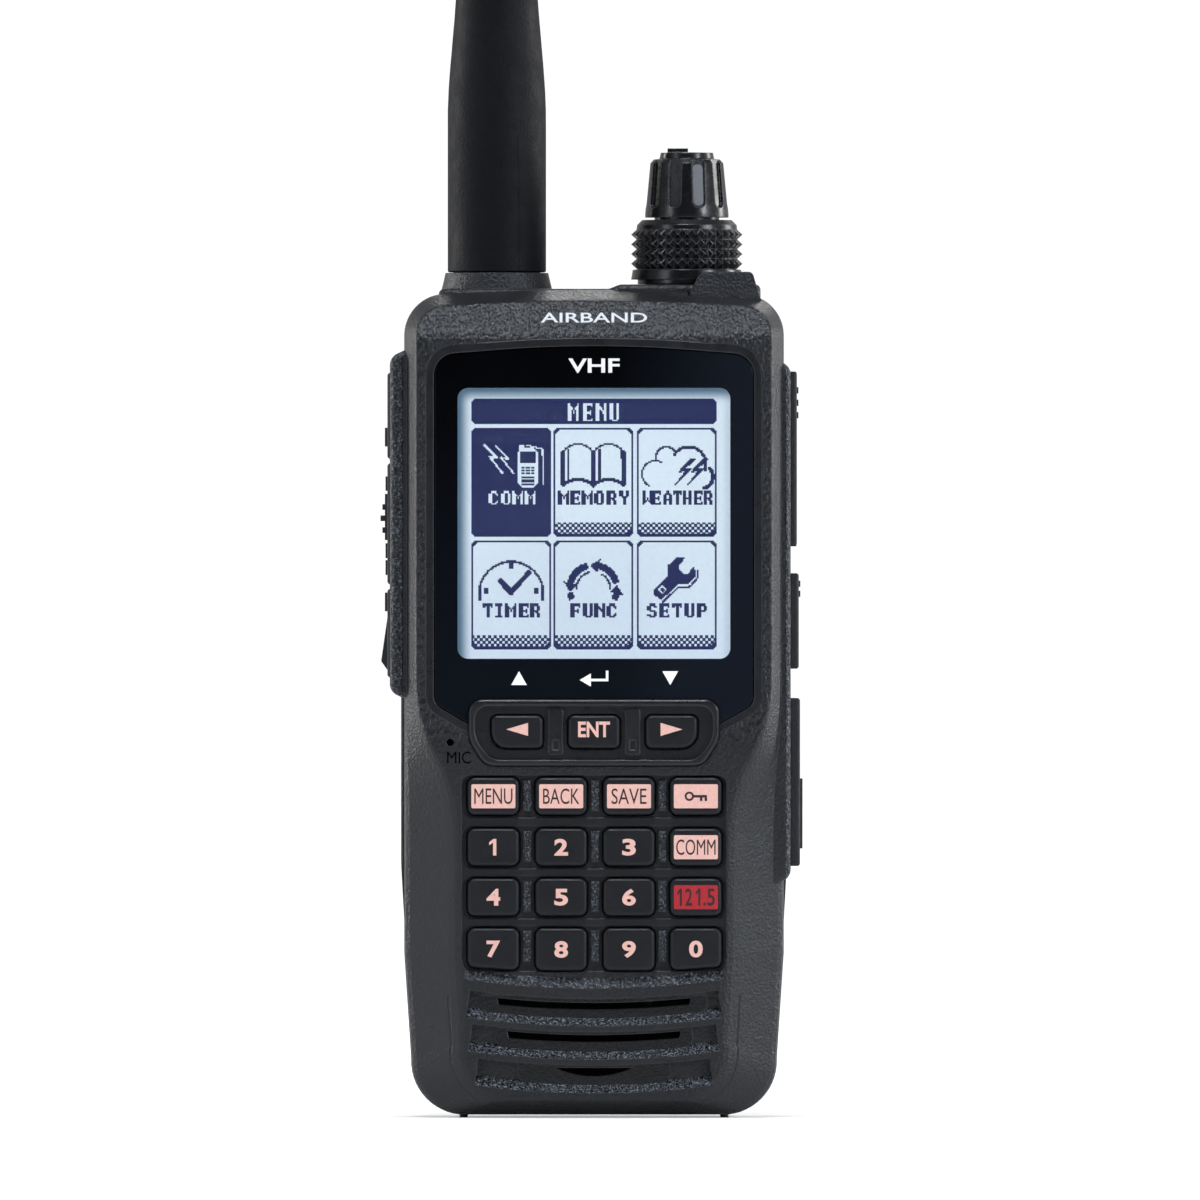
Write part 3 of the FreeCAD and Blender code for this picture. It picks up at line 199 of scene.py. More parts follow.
def case_material():
    """Front case: fine grain on the wings and the sloping band, coarse glinting grain on the frame
    round the display, the forehead and the lips of the louvres, and smooth pads in the louvres.
    Painted light in its colour: glints on the coarse grain, a highlight on the side-facing band
    and along the edges, and shade in the sunken key well and on the louvre pads."""
    s = Shader("case_plastic", (0.02, 0.021, 0.024), 0.5, Specular_IOR_Level=0.5)
    x, y, z = s.axes(s.where())
    nx, ny, nz = s.axes(s.add("NewGeometry").outputs["True Normal"])
    across = s.math("ABSOLUTE", x)
    facing = s.ramp(ny, -0.62, -0.72)
    off_ribs = s.math("ABSOLUTE", s.math("ADD", y, RIB_DEPTH))
    off_pads = s.math("ABSOLUTE", s.math("ADD", y, PAD_DEPTH))
    # coarse grain: the display's frame and the forehead, the lips' upper faces, the ribs, the side pods
    upper = s.product(facing, s.ramp(z, 56 * MM, 64 * MM), s.ramp(across, 28.6 * MM, 28.3 * MM))
    lips = s.product(s.ramp(nz, 0.25, 0.45), s.ramp(z, 24.5 * MM, 23.5 * MM),
                     s.ramp(across, 21.8 * MM, 21.2 * MM), s.ramp(y, -13.5 * MM, -14.5 * MM))
    key_well = s.product(facing, s.ramp(z, 23 * MM, 24.5 * MM), s.ramp(z, 56 * MM, 55 * MM),
                         s.ramp(across, 21.6 * MM, 21.2 * MM))
    ribs = s.product(key_well, s.ramp(off_ribs, 0.06 * MM, 0.02 * MM))
    strips = s.product(s.ramp(across, 30.55 * MM, 30.8 * MM), s.ramp(y, -14.3 * MM, -14.0 * MM))
    lips = s.most(lips, s.math("MULTIPLY", ribs, 0.7))
    coarse = s.most(upper, lips, strips)
    # nearly smooth: the pads between the louvres and the sunken parts of the key well
    pads = s.product(facing, s.ramp(z, 20 * MM, 19.5 * MM), s.ramp(off_pads, 0.15 * MM, 0.05 * MM))
    sunken = s.product(key_well, s.ramp(y, FACE_Y + 0.2 * MM, FACE_Y + 0.5 * MM))
    smooth = s.most(pads, sunken)

    soft = s.soft_edges(0.25 * MM)
    edge_wear_and_highlight = s.edge_mask(soft)
    stretched = s.add("Mapping", None, Vector=s.where(), Scale=(1.0, 1.0, 0.7)).outputs[0]
    fine = grain_height(s, 0.42 * MM, s.mix(smooth, 0.10 * MM, 0.012 * MM))
    depth = s.mix(lips, s.mix(upper, 0.27 * MM, 0.19 * MM), 0.36 * MM)
    rough = grain_height(s, 0.50 * MM, depth, stretched)
    s.bump(s.mix(coarse, fine, rough), soft)

    blotch = s.noise(11 * MM, 4.0)
    plain = s.blend(blotch, (0.0075, 0.0078, 0.0098, 1), (0.011, 0.0114, 0.0135, 1))
    # painted highlight: lighter base colour where the surface turns sideways, on the chamfer band
    band = s.product(s.ramp(s.math("ABSOLUTE", nx), 0.2, 0.7), s.ramp(ny, -0.15, -0.3))
    lighter = s.blend(s.math("MULTIPLY", band, 0.5), plain, (0.020, 0.021, 0.0235, 1))
    # darker on the coarse-grained areas, their own finish, and on the sunken key well and the louvre
    # pads, where it is painted shade
    dark = s.blend(s.most(coarse, smooth), lighter, (0.005, 0.0055, 0.007, 1))
    # painted glints: pale blue-grey specks on the coarse grain, most on the louvre lips and ribs, then
    # the side pods, a few on the frame and forehead
    peaks = s.ramp(s.noise(0.34 * MM, 2.0, 0.7), 0.52, 0.66)
    sparse = s.most(s.math("MULTIPLY", upper, 0.1), s.math("MULTIPLY", strips, 0.6))
    painted_glint_amount = s.math("MULTIPLY", peaks, s.mix(lips, sparse, 0.9))
    painted_glints = s.blend(painted_glint_amount, dark, (0.17, 0.205, 0.26, 1))
    # edges lighter: partly wear, partly a painted highlight
    s.colour(s.blend(s.math("MULTIPLY", edge_wear_and_highlight, 0.45), painted_glints, (0.06, 0.062, 0.068, 1)))
    satin = s.ramp(s.noise(2.5 * MM), 0.3, 0.7, 0.38, 0.46)
    s.rough(s.mix(s.most(upper, lips, pads), satin, s.mix(upper, 0.24, 0.34)))
    return s.material


def chassis_material():
    """Cast frame under textured black paint."""
    s = Shader("chassis_paint", (0.013, 0.014, 0.017), 0.42, Specular_IOR_Level=0.4)
    soft = s.soft_edges(0.3 * MM)
    edge_wear_and_highlight = s.edge_mask(soft)
    s.bump(grain_height(s, 0.42 * MM, 0.13 * MM), soft)
    base = s.blend(s.noise(8 * MM, 4.0), (0.011, 0.012, 0.015, 1), (0.018, 0.019, 0.022, 1))
    # edges painted lighter: partly wear, partly a painted highlight
    s.colour(s.blend(s.math("MULTIPLY", edge_wear_and_highlight, 0.45), base, (0.05, 0.05, 0.056, 1)))
    s.rough(s.ramp(s.noise(2.0 * MM), 0.3, 0.7, 0.34, 0.48))
    return s.material


def gloss_black(name):
    """Shiny black plastic, painted paler along its edges, partly as wear and partly as a painted
    highlight.
    """
    s = Shader(name, (0.006, 0.006, 0.008), 0.3, Specular_IOR_Level=0.5)
    soft = s.soft_edges(0.3 * MM)
    s.bump(s.math("MULTIPLY", s.noise(0.5 * MM), 0.006 * MM), soft)
    edge_wear_and_highlight = s.edge_mask(soft)
    # edges paler: partly wear, partly a painted highlight
    s.colour(s.blend(s.math("MULTIPLY", edge_wear_and_highlight, 0.5), (0.009, 0.009, 0.011, 1), (0.07, 0.072, 0.08, 1)))
    s.rough(s.ramp(s.noise(3 * MM), 0.3, 0.7, 0.26, 0.36))
    return s.material


def border_colour(s):
    """Nearly black print, painted a little paler towards the lower right corner as a painted reflection.
    """
    x, _, z = s.axes(s.where())
    # painted reflection: paler towards the lower right corner
    corner = s.math("ADD", s.ramp(x, 0.0, 0.03), s.ramp(z, 0.06, 0.13, 0.6, 0.0))
    corner = s.math("ADD", corner, s.ramp(s.noise(12 * MM), 0.3, 0.7, -0.03, 0.03))
    return s.blend(corner, (0.0015, 0.0015, 0.002, 1), (0.009, 0.012, 0.018, 1))


def lens_material():
    """Clear plastic with faint smears in the display's window, and black all round it,
    paler towards the lower right as a painted reflection.
    """
    s = Shader("lens_clear", (1.0, 1.0, 1.0), 0.02, IOR=1.49, Specular_IOR_Level=0.1)
    x, _, z = s.axes(s.where())
    middle_z, half_high = (WINDOW_LOW + WINDOW_HIGH) / 2, (WINDOW_HIGH - WINDOW_LOW) / 2
    off_middle = s.math("ABSOLUTE", s.math("SUBTRACT", z, middle_z))
    past_x = s.most(s.math("SUBTRACT", s.math("ABSOLUTE", x), WINDOW_X - WINDOW_R), 0.0)
    past_z = s.most(s.math("SUBTRACT", off_middle, half_high - WINDOW_R), 0.0)
    away = s.math("SQRT", s.math("ADD", s.product(past_x, past_x), s.product(past_z, past_z)))
    blur = 0.04 * MM
    clear = s.ramp(away, WINDOW_R + blur, WINDOW_R - blur)
    s.put(s.bsdf.inputs["Transmission Weight"], clear)
    s.colour(s.blend(clear, border_colour(s), (1, 1, 1, 1)))
    s.rough(s.ramp(s.noise(6 * MM), 0.4, 0.8, 0.01, 0.03))
    return s.material


def lcd_material():
    """Lit display: pale blue-white, with the lens border's shadow painted along its top and left edges
    and a little along its right edge.
    """
    s = Shader("lcd_glass", (0.3, 0.4, 0.5), 0.5)
    x, _, z = s.axes(s.where())
    # painted shadow of the lens border: darker towards the top and left edges, a little at the right
    left = s.ramp(x, LEFT_EDGE, LEFT_EDGE + 2.4 * MM)
    top = s.ramp(z, TOP_EDGE, TOP_EDGE - 2.6 * MM)
    right = s.ramp(x, RIGHT_EDGE, RIGHT_EDGE - 1.6 * MM)
    lit = s.math("MULTIPLY", s.math("MULTIPLY", left, top), s.mix(right, 0.75, 1.0))
    slow = s.ramp(s.noise(30 * MM, 1.0), 0.3, 0.7, 0.96, 1.02)
    speck = s.ramp(s.noise(0.5 * MM, 1.0), 0.3, 0.7, 0.97, 1.02)
    middle_colour = s.blend(s.ramp(z, 0.1, 0.075), (0.69, 0.82, 0.94, 1), (0.63, 0.76, 0.90, 1))
    glow = s.blend(lit, (0.06, 0.14, 0.23, 1), middle_colour)
    s.colour(s.blend(lit, (0.02, 0.03, 0.05, 1), (0.05, 0.06, 0.07, 1)))
    s.put(s.bsdf.inputs["Emission Color"], glow)
    s.put(s.bsdf.inputs["Emission Strength"], s.math("MULTIPLY", slow, speck))
    return s.material


def ink(name, colour, rough=0.55, glow=None, shine=0.5):
    """Printed or moulded-in legend with faint unevenness. A given glow is painted light,
    except on the display's dots, where it is the backlight showing through.
    """
    s = Shader(name, colour, rough, Specular_IOR_Level=shine)
    uneven = s.ramp(s.noise(0.6 * MM, 2.0), 0.3, 0.7, 0.93, 1.05)
    s.colour(s.tinted(colour, uneven))
    s.bump(s.math("MULTIPLY", s.noise(0.3 * MM), 0.004 * MM))
    # the glow is painted light on print; only on the display's dots is it the backlight showing through
    if glow:
        s.bsdf.inputs["Emission Color"].default_value = (*glow, 1)
        s.bsdf.inputs["Emission Strength"].default_value = 1.0
    return s.material


def metal(name, colour, rough, size=0.8 * MM):
    """Metal with fine brushing and stains."""
    s = Shader(name, colour, rough, Metallic=1.0)
    along = s.add("Mapping", None, Vector=s.where(), Scale=(1.0, 1.0, 0.06)).outputs[0]
    brush = s.noise(size * 0.2, 3.0, 0.6, along)
    s.bump(s.math("MULTIPLY", brush, 0.006 * MM), s.soft_edges(0.12 * MM))
    s.rough(s.ramp(brush, 0.3, 0.7, rough - 0.06, rough + 0.08))
    tint = s.noise(4 * MM, 3.0)
    dark = tuple(c * 0.8 for c in colour)
    s.colour(s.blend(tint, (*colour, 1), (*dark, 1)))
    return s.material


def board_material():
    """Solder mask with traces as thin pale lines."""
    s = Shader("board_green", (0.02, 0.12, 0.06), 0.3)
    grid = s.add("TexBrick", None, Vector=s.where(), Scale=260.0)
    s.colour(s.blend(grid.outputs["Fac"], (0.018, 0.11, 0.05, 1), (0.05, 0.22, 0.10, 1)))
    s.bump(s.math("MULTIPLY", s.noise(0.7 * MM), 0.01 * MM), s.soft_edges(0.1 * MM))
    return s.material


# ---------------------------------------------------------------- geometry helpers
def finish_piece(piece, material, body):
    piece.data.materials.clear()
    piece.data.materials.append(material)
    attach(piece, body)
    return piece


def mesh_piece(name, verts, faces, material, body):
    mesh = bpy.data.meshes.new(name)
    mesh.from_pydata([tuple(v) for v in verts], [], faces)
    mesh.validate()
    work = bmesh.new()
    work.from_mesh(mesh)
    bmesh.ops.recalc_face_normals(work, faces=work.faces)
    work.to_mesh(mesh)
    work.free()
    piece = bpy.data.objects.new(name, mesh)
    SCENE.collection.objects.link(piece)
    return finish_piece(piece, material, body)


def plates(name, outlines, y_front, thick, material, body):
    """Closed flat plates facing -Y, one for each (x, z) outline, joined into one piece."""
    verts, faces = [], []
    for outline in outlines:
        n, first = len(outline), len(verts)
        verts += [(x, y_front, z) for x, z in outline]
        verts += [(x, y_front + thick, z) for x, z in outline]
        faces.append([first + k for k in range(n)])
        faces.append([first + n + k for k in reversed(range(n))])
        for k in range(n):
            j = (k + 1) % n
            faces.append([first + k, first + n + k, first + n + j, first + j])
    return mesh_piece(name, verts, faces, material, body)


def rounded(x, z, width, height, r, steps=6):
    """Rounded rectangle centred on (x, z)."""
    points = []
    for turn, (sx, sz) in enumerate(((1, 1), (-1, 1), (-1, -1), (1, -1))):
        cx, cz = x + sx * (width / 2 - r), z + sz * (height / 2 - r)
        for k in range(steps + 1):
            a = math.radians(90 * (turn + k / steps))
            points.append((cx + r * math.cos(a), cz + r * math.sin(a)))
    return points


def text_piece(name, words, x, z, width, height, y_front, material, body, bold=0.0, thick=PRINT):
    """Words standing on a face that looks along -Y, centred on (x, z), stretched to width and height."""
    curve = bpy.data.curves.new(name, "FONT")
    curve.body = words
    curve.offset = bold
    curve.extrude = 0.5
    curve.resolution_u = 4
    holder = bpy.data.objects.new(name, curve)
    SCENE.collection.objects.link(holder)
    bpy.context.view_layer.update()
    graph = bpy.context.evaluated_depsgraph_get()
    mesh = bpy.data.meshes.new_from_object(holder.evaluated_get(graph))
    bpy.data.objects.remove(holder)
    flat = np.array([v.co for v in mesh.vertices])
    low, high = flat.min(0), flat.max(0)
    centre = (low + high) / 2
    scale_x, scale_z = width / (high[0] - low[0]), height / (high[1] - low[1])
    for v in mesh.vertices:
        u, w, d = (v.co[k] - centre[k] for k in range(3))
        v.co = (x + u * scale_x, y_front + thick * (0.5 - d), z + w * scale_z)
    mesh.update()
    mesh.name = name
    piece = bpy.data.objects.new(name, mesh)
    SCENE.collection.objects.link(piece)
    return finish_piece(piece, material, body)


def figure_one(x, z, width, height):
    """Outline of a figure 1 with a flag, centred on (x, z)."""
    shape = ((0.5, -0.5), (0.5, 0.5), (0.08, 0.5), (-0.5, 0.30), (-0.5, 0.12), (0.04, 0.27), (0.04, -0.5))
    return [(x + u * width, z + w * height) for u, w in shape]


# ---------------------------------------------------------------- display graphics
WINDOW_X = 21.8 * MM                    # half width of the clear window
WINDOW_R = 1.7 * MM
WINDOW_LOW = 73.0 * MM + FOOT
WINDOW_HIGH = 116.3 * MM + FOOT
LEFT_EDGE, RIGHT_EDGE, TOP_EDGE = -WINDOW_X, WINDOW_X, WINDOW_HIGH
GRID_WIDE, GRID_HIGH = 176, 180         # display dots
DOT = 39.2 * MM / GRID_WIDE
SPREAD = 0.16                           # dark dots spill over their edges by this part of a dot
GRID_LEFT = -19.6 * MM
GRID_TOP = 114.6 * MM + FOOT

LETTERS = {
    "A": "..##../.####./##..##/##..##/##..##/######/##..##/##..##/##..##",
    "C": ".####./##..##/##...#/##..../##..../##..../##...#/##..##/.####.",
    "E": "######/##...#/##..../##..#./#####./##..#./##..../##...#/######",
    "F": "######/##...#/##..../##..#./#####./##..#./##..../##..../##....",
    "H": "##..##/##..##/##..##/##..##/######/##..##/##..##/##..##/##..##",
    "I": "####/.##./.##./.##./.##./.##./.##./.##./####",
    "M": "#.....#/##...##/###.###/##.#.##/##.#.##/##...##/##...##/##...##/##...##",
    "N": "##...##/###..##/####.##/##.####/##..###/##...##/##...##/##...##/##...##",
    "O": ".####./##..##/##..##/##..##/##..##/##..##/##..##/##..##/.####.",
    "P": "#####./##..##/##..##/##..##/#####./##..../##..../##..../##....",
    "R": "#####./##..##/##..##/##..##/#####./##.##./##..##/##..##/##..##",
    "S": ".####./##..##/##..../##..../.####./....##/....##/##..##/.####.",
    "T": "######/#.##.#/..##../..##../..##../..##../..##../..##../..##..",
    "U": "##..##/##..##/##..##/##..##/##..##/##..##/##..##/##..##/.####.",
    "W": "##...##/##...##/##...##/##...##/##.#.##/##.#.##/###.###/##...##/#.....#",
    "Y": "##..##/##..##/##..##/.####./..##../..##../..##../..##../..##..",
}


class Dots:
    """The display's dot matrix. u runs right and v runs down, in dots."""

    def __init__(self):
        self.on = np.zeros((GRID_HIGH, GRID_WIDE), bool)
        v, u = np.mgrid[0:GRID_HIGH, 0:GRID_WIDE]
        self.u, self.v = u + 0.5, v + 0.5

    def put(self, mask, value=True):
        self.on[mask] = value

    def block(self, u0, v0, u1, v1, cut=0):
        """Rectangle with its corners cut off."""
        du = np.minimum(self.u - u0, u1 - self.u)
        dv = np.minimum(self.v - v0, v1 - self.v)
        return (du > 0) & (dv > 0) & (du + dv > cut)

    def line(self, points, width):
        mask = np.zeros_like(self.on)
        for (u0, v0), (u1, v1) in zip(points, points[1:]):
            du, dv = u1 - u0, v1 - v0
            along = ((self.u - u0) * du + (self.v - v0) * dv) / (du * du + dv * dv)
            along = np.clip(along, 0, 1)
            gap = np.hypot(self.u - u0 - along * du, self.v - v0 - along * dv)
            mask |= gap <= width / 2
        return mask

    def arc(self, u, v, r, start, stop, width):
        """Part of a ring; angles in degrees, anticlockwise from the right."""
        away = np.hypot(self.u - u, self.v - v)
        angle = np.degrees(np.arctan2(v - self.v, self.u - u)) % 360
        turn = (angle - start) % 360
        return (abs(away - r) <= width / 2) & (turn <= stop - start)

    def shape(self, points):
        """Filled polygon."""
        mask = np.zeros_like(self.on)
        for (u0, v0), (u1, v1) in zip(points, points[1:] + points[:1]):
            if v0 == v1:
                continue
            crosses = (self.v > min(v0, v1)) & (self.v <= max(v0, v1))
            mask ^= crosses & (self.u < u0 + (self.v - v0) * (u1 - u0) / (v1 - v0))
        return mask

    def write(self, word, u_middle, v_top, tall, pitch, value=True):
        """Word in the dot font, one dot wider than drawn, evenly spaced about u_middle."""
        for place, letter in enumerate(word):
            glyph = LETTERS[letter].split("/")
            wide = len(glyph[0]) + (pitch > 7.5)
            u = int(round(u_middle + (place - (len(word) - 1) / 2) * pitch - wide / 2))
            for k in range(tall):
                row = glyph[k * len(glyph) // tall]
                for j in range(wide):
                    if row[j * len(row) // wide] == "#":
                        self.on[v_top + k, u + j] = value


TILE_COLUMNS = ((0, 57), (59, 116), (119, 176))
TILE_ROWS = ((21, 99), (102, 180))


def bolt(u, v, size):
    """Lightning stroke as a filled polygon."""
    shape = ((0.70, 0.0), (0.14, 0.53), (0.44, 0.50), (0.0, 1.0), (0.76, 0.38), (0.46, 0.40), (0.95, 0.0))
    return [(u + a * size * 0.85, v + b * size) for a, b in shape]


def icon_radio(d, u, v):
    """Hand radio beside two lightning strokes, drawn light on dark."""
    light = d.block(u + 33, v + 14, u + 48, v + 43, 3) | d.block(u + 34, v + 12, u + 38, v + 16)
    light |= d.line([(u + 40, v + 12.5), (u + 51, v + 15), (u + 51.5, v + 40)], 1.2)
    for k in range(2):
        zigzag = ((9.3, 12.3), (18.5, 21.5), (13.0, 20.7), (21.9, 31.9))
        light |= d.line([(u + a + 8.2 * k, v + b + (1 - k / 2) * k) for a, b in zigzag], 1.7)
    d.put(light, False)
    d.put(d.block(u + 35, v + 17, u + 46, v + 25))
    for row in range(3):
        for column in range(3):
            left, top = u + 36 + 3.4 * column, v + 27.5 + 2.4 * row
            d.put(d.block(left, top, left + 2.2, top + 1.2))
    for row in range(3):
        d.put(d.block(u + 36, v + 35 + 2.4 * row, u + 45, v + 36.2 + 2.4 * row))


def icon_book(d, u, v):
    """Open book with curling pages."""
    for side, fold in ((-1, 0), (1, 1)):
        spine, edge = u + 28.5, u + 28.5 + side * 22
        top = d.arc((spine + edge) / 2, v + 24, 12.5, 35, 145, 1.2)
        bottom = d.arc((spine + edge) / 2, v + 53, 16, 48, 132, 2.2)
        d.put(top | bottom)
        d.put(d.line([(edge, v + 17), (edge, v + 41)], 2.2))
        inset = edge - side * 4 * (1 - fold)
        d.put(d.line([(inset - 2 * fold, v + 16), (inset, v + 39)], 1.1))
    d.put(d.line([(u + 28.5, v + 17), (u + 28.5, v + 42)], 2.2))
    d.put(d.line([(u + 33, v + 15.5), (u + 33, v + 37)], 1.1))


def icon_cloud(d, u, v):
    """Cloud with two lightning strokes."""
    d.put(d.arc(u + 13, v + 33, 9.5, 60, 245, 1.2))
    d.put(d.arc(u + 21, v + 21, 7.5, 20, 205, 1.4))
    d.put(d.arc(u + 37, v + 26, 12.5, -25, 150, 2.0))
    d.put(d.arc(u + 46, v + 35, 8.5, -80, 50, 2.4))
    for k in range(2):
        d.put(d.shape(bolt(u + 27 + 9 * k, v + 21.5, 19.5)))


def icon_clock(d, u, v):
    """Upper half of a clock face."""
    d.put(d.arc(u + 28.5, v + 38, 23, 0, 180, 1.4))
    d.put(d.block(u + 5, v + 34, u + 7, v + 43) | d.block(u + 50, v + 34, u + 52, v + 43))
    for du, dv in ((0, -19), (-18, -1), (18, -1)):
        d.put(d.block(u + 26.6 + du, v + 35 + dv, u + 30.4 + du, v + 38.6 + dv))
    d.put(d.line([(u + 21, v + 29), (u + 28.5, v + 37)], 4.0))
    d.put(d.line([(u + 28.5, v + 37), (u + 41, v + 23)], 3.2))


def icon_cycle(d, u, v):
    """Curved arrows chasing each other round a ring."""
    cu, cv, r = u + 28.5, v + 34.5, 17.0
    for start, stop in ((14, 80), (104, 170), (-27, -6), (190, 206)):
        d.put(d.arc(cu, cv, r, start, stop, 4.6))
    for start, stop in ((0, 60), (100, 180)):
        d.put(d.arc(cu, cv, 12.2, start, stop, 1.1))
    for angle in (80, 170, -8):
        a, b = math.radians(angle - 4), math.radians(angle + 17)
        outer = (cu + (r + 5) * math.cos(a), cv - (r + 5) * math.sin(a))
        inner = (cu + (r - 5) * math.cos(a), cv - (r - 5) * math.sin(a))
        d.put(d.shape([outer, (cu + r * math.cos(b), cv - r * math.sin(b)), inner]))


def icon_spanner(d, u, v):
    """Open-ended spanner lying at a slant, with a thin shadow line."""
    outline = ((12, 36), (22.5, 25.5), (22.5, 17.5), (28, 12.3), (34.5, 12.3), (30.5, 17),
               (30.5, 21), (33, 24), (36.5, 24), (40.5, 19), (42, 22), (42, 25),
               (37, 31), (29, 31.5), (17.5, 42.3), (12, 38.5))
    d.put(d.shape([(u + a, v + b) for a, b in outline]))
    hole_u, hole_v = u + 18.2, v + 35.2
    for reach, value in ((3.4, False), (1.8, True)):
        d.put(d.shape([(hole_u, hole_v - reach), (hole_u + reach, hole_v),
                       (hole_u, hole_v + reach), (hole_u - reach, hole_v)]), value)
    shadow = ((18.5, 44), (29.5, 33.5), (38, 33), (43.5, 26.5), (43.5, 22))
    d.put(d.line([(u + a, v + b) for a, b in shadow], 1.1))


def draw_menu():
    """Menu page: a title bar and six tiles, the first one picked out."""
    d = Dots()
    d.put(d.block(0, 0, GRID_WIDE, 18, 2.5))
    d.write("MENU", GRID_WIDE / 2, 3, 13, 9.75, False)
    tiles = (("COMM", icon_radio), ("MEMORY", icon_book), ("WEATHER", icon_cloud),
             ("TIMER", icon_clock), ("FUNC", icon_cycle), ("SETUP", icon_spanner))
    checker = (np.add.outer(np.arange(GRID_HIGH) // 2, np.arange(GRID_WIDE) // 2) % 2).astype(bool)
    for k, (word, icon) in enumerate(tiles):
        u0, u1 = TILE_COLUMNS[k % 3]
        v0, v1 = TILE_ROWS[k // 3]
        whole = d.block(u0, v0, u1, v1, 2.5)
        d.put(whole)
        if k > 0:
            d.put(d.block(u0 + 1.4, v0 + 1.4, u1 - 1.4, v1 - 2, 2.9), False)
            d.put(d.block(u0 + 1, v1 - 10, u1 - 1, v1 - 2) & whole & checker)
        icon(d, u0, v0)
        long = len(word) > 6
        d.write(word, (u0 + u1) / 2 + (0.6 if long else 0), v0 + 45, 10, 7.3 if long else 8.75, k > 0)
    return d.on


def runs(on):
    """Rectangles that cover the lit dots: runs along rows, stretched down while they repeat."""
    open_runs, done = {}, []
    for v in range(on.shape[0] + 1):
        here = {}
        if v < on.shape[0]:
            row = np.concatenate(([0], on[v].astype(int), [0]))
            edges = np.flatnonzero(np.diff(row))
            for a, b in zip(edges[::2], edges[1::2]):
                here[(a, b)] = open_runs.pop((a, b), v)
        done += [(a, b, top, v) for (a, b), top in open_runs.items()]
        open_runs = here
    return done


def display_piece():
    """The lit dots of the menu page, as one thin plate on the display."""
    outlines = []
    for a, b, top, bottom in runs(draw_menu()):
        x0, x1 = GRID_LEFT + (a - SPREAD) * DOT, GRID_LEFT + (b + SPREAD) * DOT
        z0, z1 = GRID_TOP - (bottom + SPREAD) * DOT, GRID_TOP - (top - SPREAD) * DOT
        outlines.append([(x0, z0), (x1, z0), (x1, z1), (x0, z1)])
    navy = ink("display_dots", (0.006, 0.007, 0.015), 0.5, (0.018, 0.026, 0.105))
    plates("display_graphics", outlines, LCD_FRONT - SINK, SINK, navy, "radio")


# ---------------------------------------------------------------- lens print
BORDER_TOP = 123.0 * MM + FOOT
BORDER_LOW = 62.9 * MM + FOOT
NOTCH_X = 20.25 * MM                    # the border's notch round the navigation keys
NOTCH_Z = 66.9 * MM + FOOT
NOTCH_R = 2.3 * MM
SYMBOL_Z = 69.9 * MM + FOOT


def border_material():
    s = Shader("lens_border", (0.003, 0.003, 0.004), 0.4, Specular_IOR_Level=0.0)
    # black print with a painted reflection towards the lower right
    s.colour(border_colour(s))
    return s.material


def border_half():
    """Right half of the border: its outer edge, then back along the clear window."""
    centre_x, centre_z = NOTCH_X - NOTCH_R, NOTCH_Z - NOTCH_R
    turns = [math.radians(90 - 15 * k) for k in range(7)]
    outer = [(centre_x + NOTCH_R * math.cos(a), centre_z + NOTCH_R * math.sin(a)) for a in turns]
    outer.append((NOTCH_X, BORDER_LOW))
    shoulder = ((24.2, 64.9), (25.2, 66.6), (25.2, 118.8), (24.9, 120.0), (24.1, 121.1), (22.6, 121.7),
                (15.0, 122.5), (8.0, 122.9))
    outer += [(x * MM, z * MM + FOOT) for x, z in shoulder]
    outer.append((0.0, BORDER_TOP))
    middle_z = (WINDOW_LOW + WINDOW_HIGH) / 2
    clear = rounded(0, middle_z, 2 * WINDOW_X, WINDOW_HIGH - WINDOW_LOW, WINDOW_R, 8)
    right = [p for p in clear if p[0] > 0]
    low_part = sorted((p for p in right if p[1] < middle_z), key=lambda p: (p[0], p[1]))
    high_part = sorted((p for p in right if p[1] > middle_z), key=lambda p: (-p[0], p[1]))
    inner = [(0.0, WINDOW_LOW)] + low_part + high_part + [(0.0, WINDOW_HIGH)]
    return [(0.0, NOTCH_Z)] + outer + inner[::-1]


def lens_symbols(front):
    """Two triangles and a return arrow under the display."""
    w, h, t = 1.25 * MM, 1.1 * MM, 0.2 * MM
    left, right, z = -12.0 * MM, 12.2 * MM, SYMBOL_Z
    up = [(left - w, z - h), (left + w, z - h), (left, z + h)]
    down = [(right - w, z + h), (right, z - h), (right + w, z + h)]
    tip, head, post, axis = -2.3 * MM, -0.5 * MM, 1.9 * MM, z - 0.3 * MM
    arrow = [(tip, axis), (head, axis + 1.05 * MM), (head, axis + t), (post, axis + t),
             (post, z + 1.2 * MM), (post + 2 * t, z + 1.2 * MM), (post + 2 * t, axis - t),
             (head, axis - t), (head, axis - 1.05 * MM)]
    # white print with a painted glow
    white = ink("white_print", (0.60, 0.61, 0.62), 0.5, (0.50, 0.505, 0.51))
    plates("lens_symbols", [up, down, arrow], front, SINK, white, "radio")


def lens_print():
    """Black border behind the lens, and the white symbols and silver word on its front."""
    half = border_half()
    other = [(-x, z) for x, z in reversed(half)]
    plates("lens_border", [half, other], LENS_BACK - SINK, 0.02 * MM, border_material(), "radio")
    front = LENS_FRONT - 0.02 * MM
    lens_symbols(front)
    # silver print with a painted glow
    silver = ink("silver_print", (0.55, 0.555, 0.56), 0.35, (0.42, 0.423, 0.426))
    text_piece("lens_word", "VHF", 0.0, 119.9 * MM + FOOT, 8.2 * MM, 2.3 * MM, front, silver, "radio",
               0.02, SINK)


# ---------------------------------------------------------------- key legends
DIGIT_KEYS = {f"digit_{n}_key": str(n) for n in range(10)}
WORD_KEYS = {"menu_key": "MENU", "back_key": "BACK", "save_key": "SAVE", "comm_key": "COMM"}
WORD_WIDTH = {"MENU": 6.1 * MM, "BACK": 5.8 * MM, "SAVE": 5.6 * MM, "COMM": 6.3 * MM}


def window(node, front, material):
    """Coloured panel let into the face of a key."""
    place = middle(node)
    outline = rounded(place.x, place.z, 7.05 * MM, 3.85 * MM, 0.25 * MM)
    plates(node + "_window", [outline], front, 0.05 * MM, material, node)


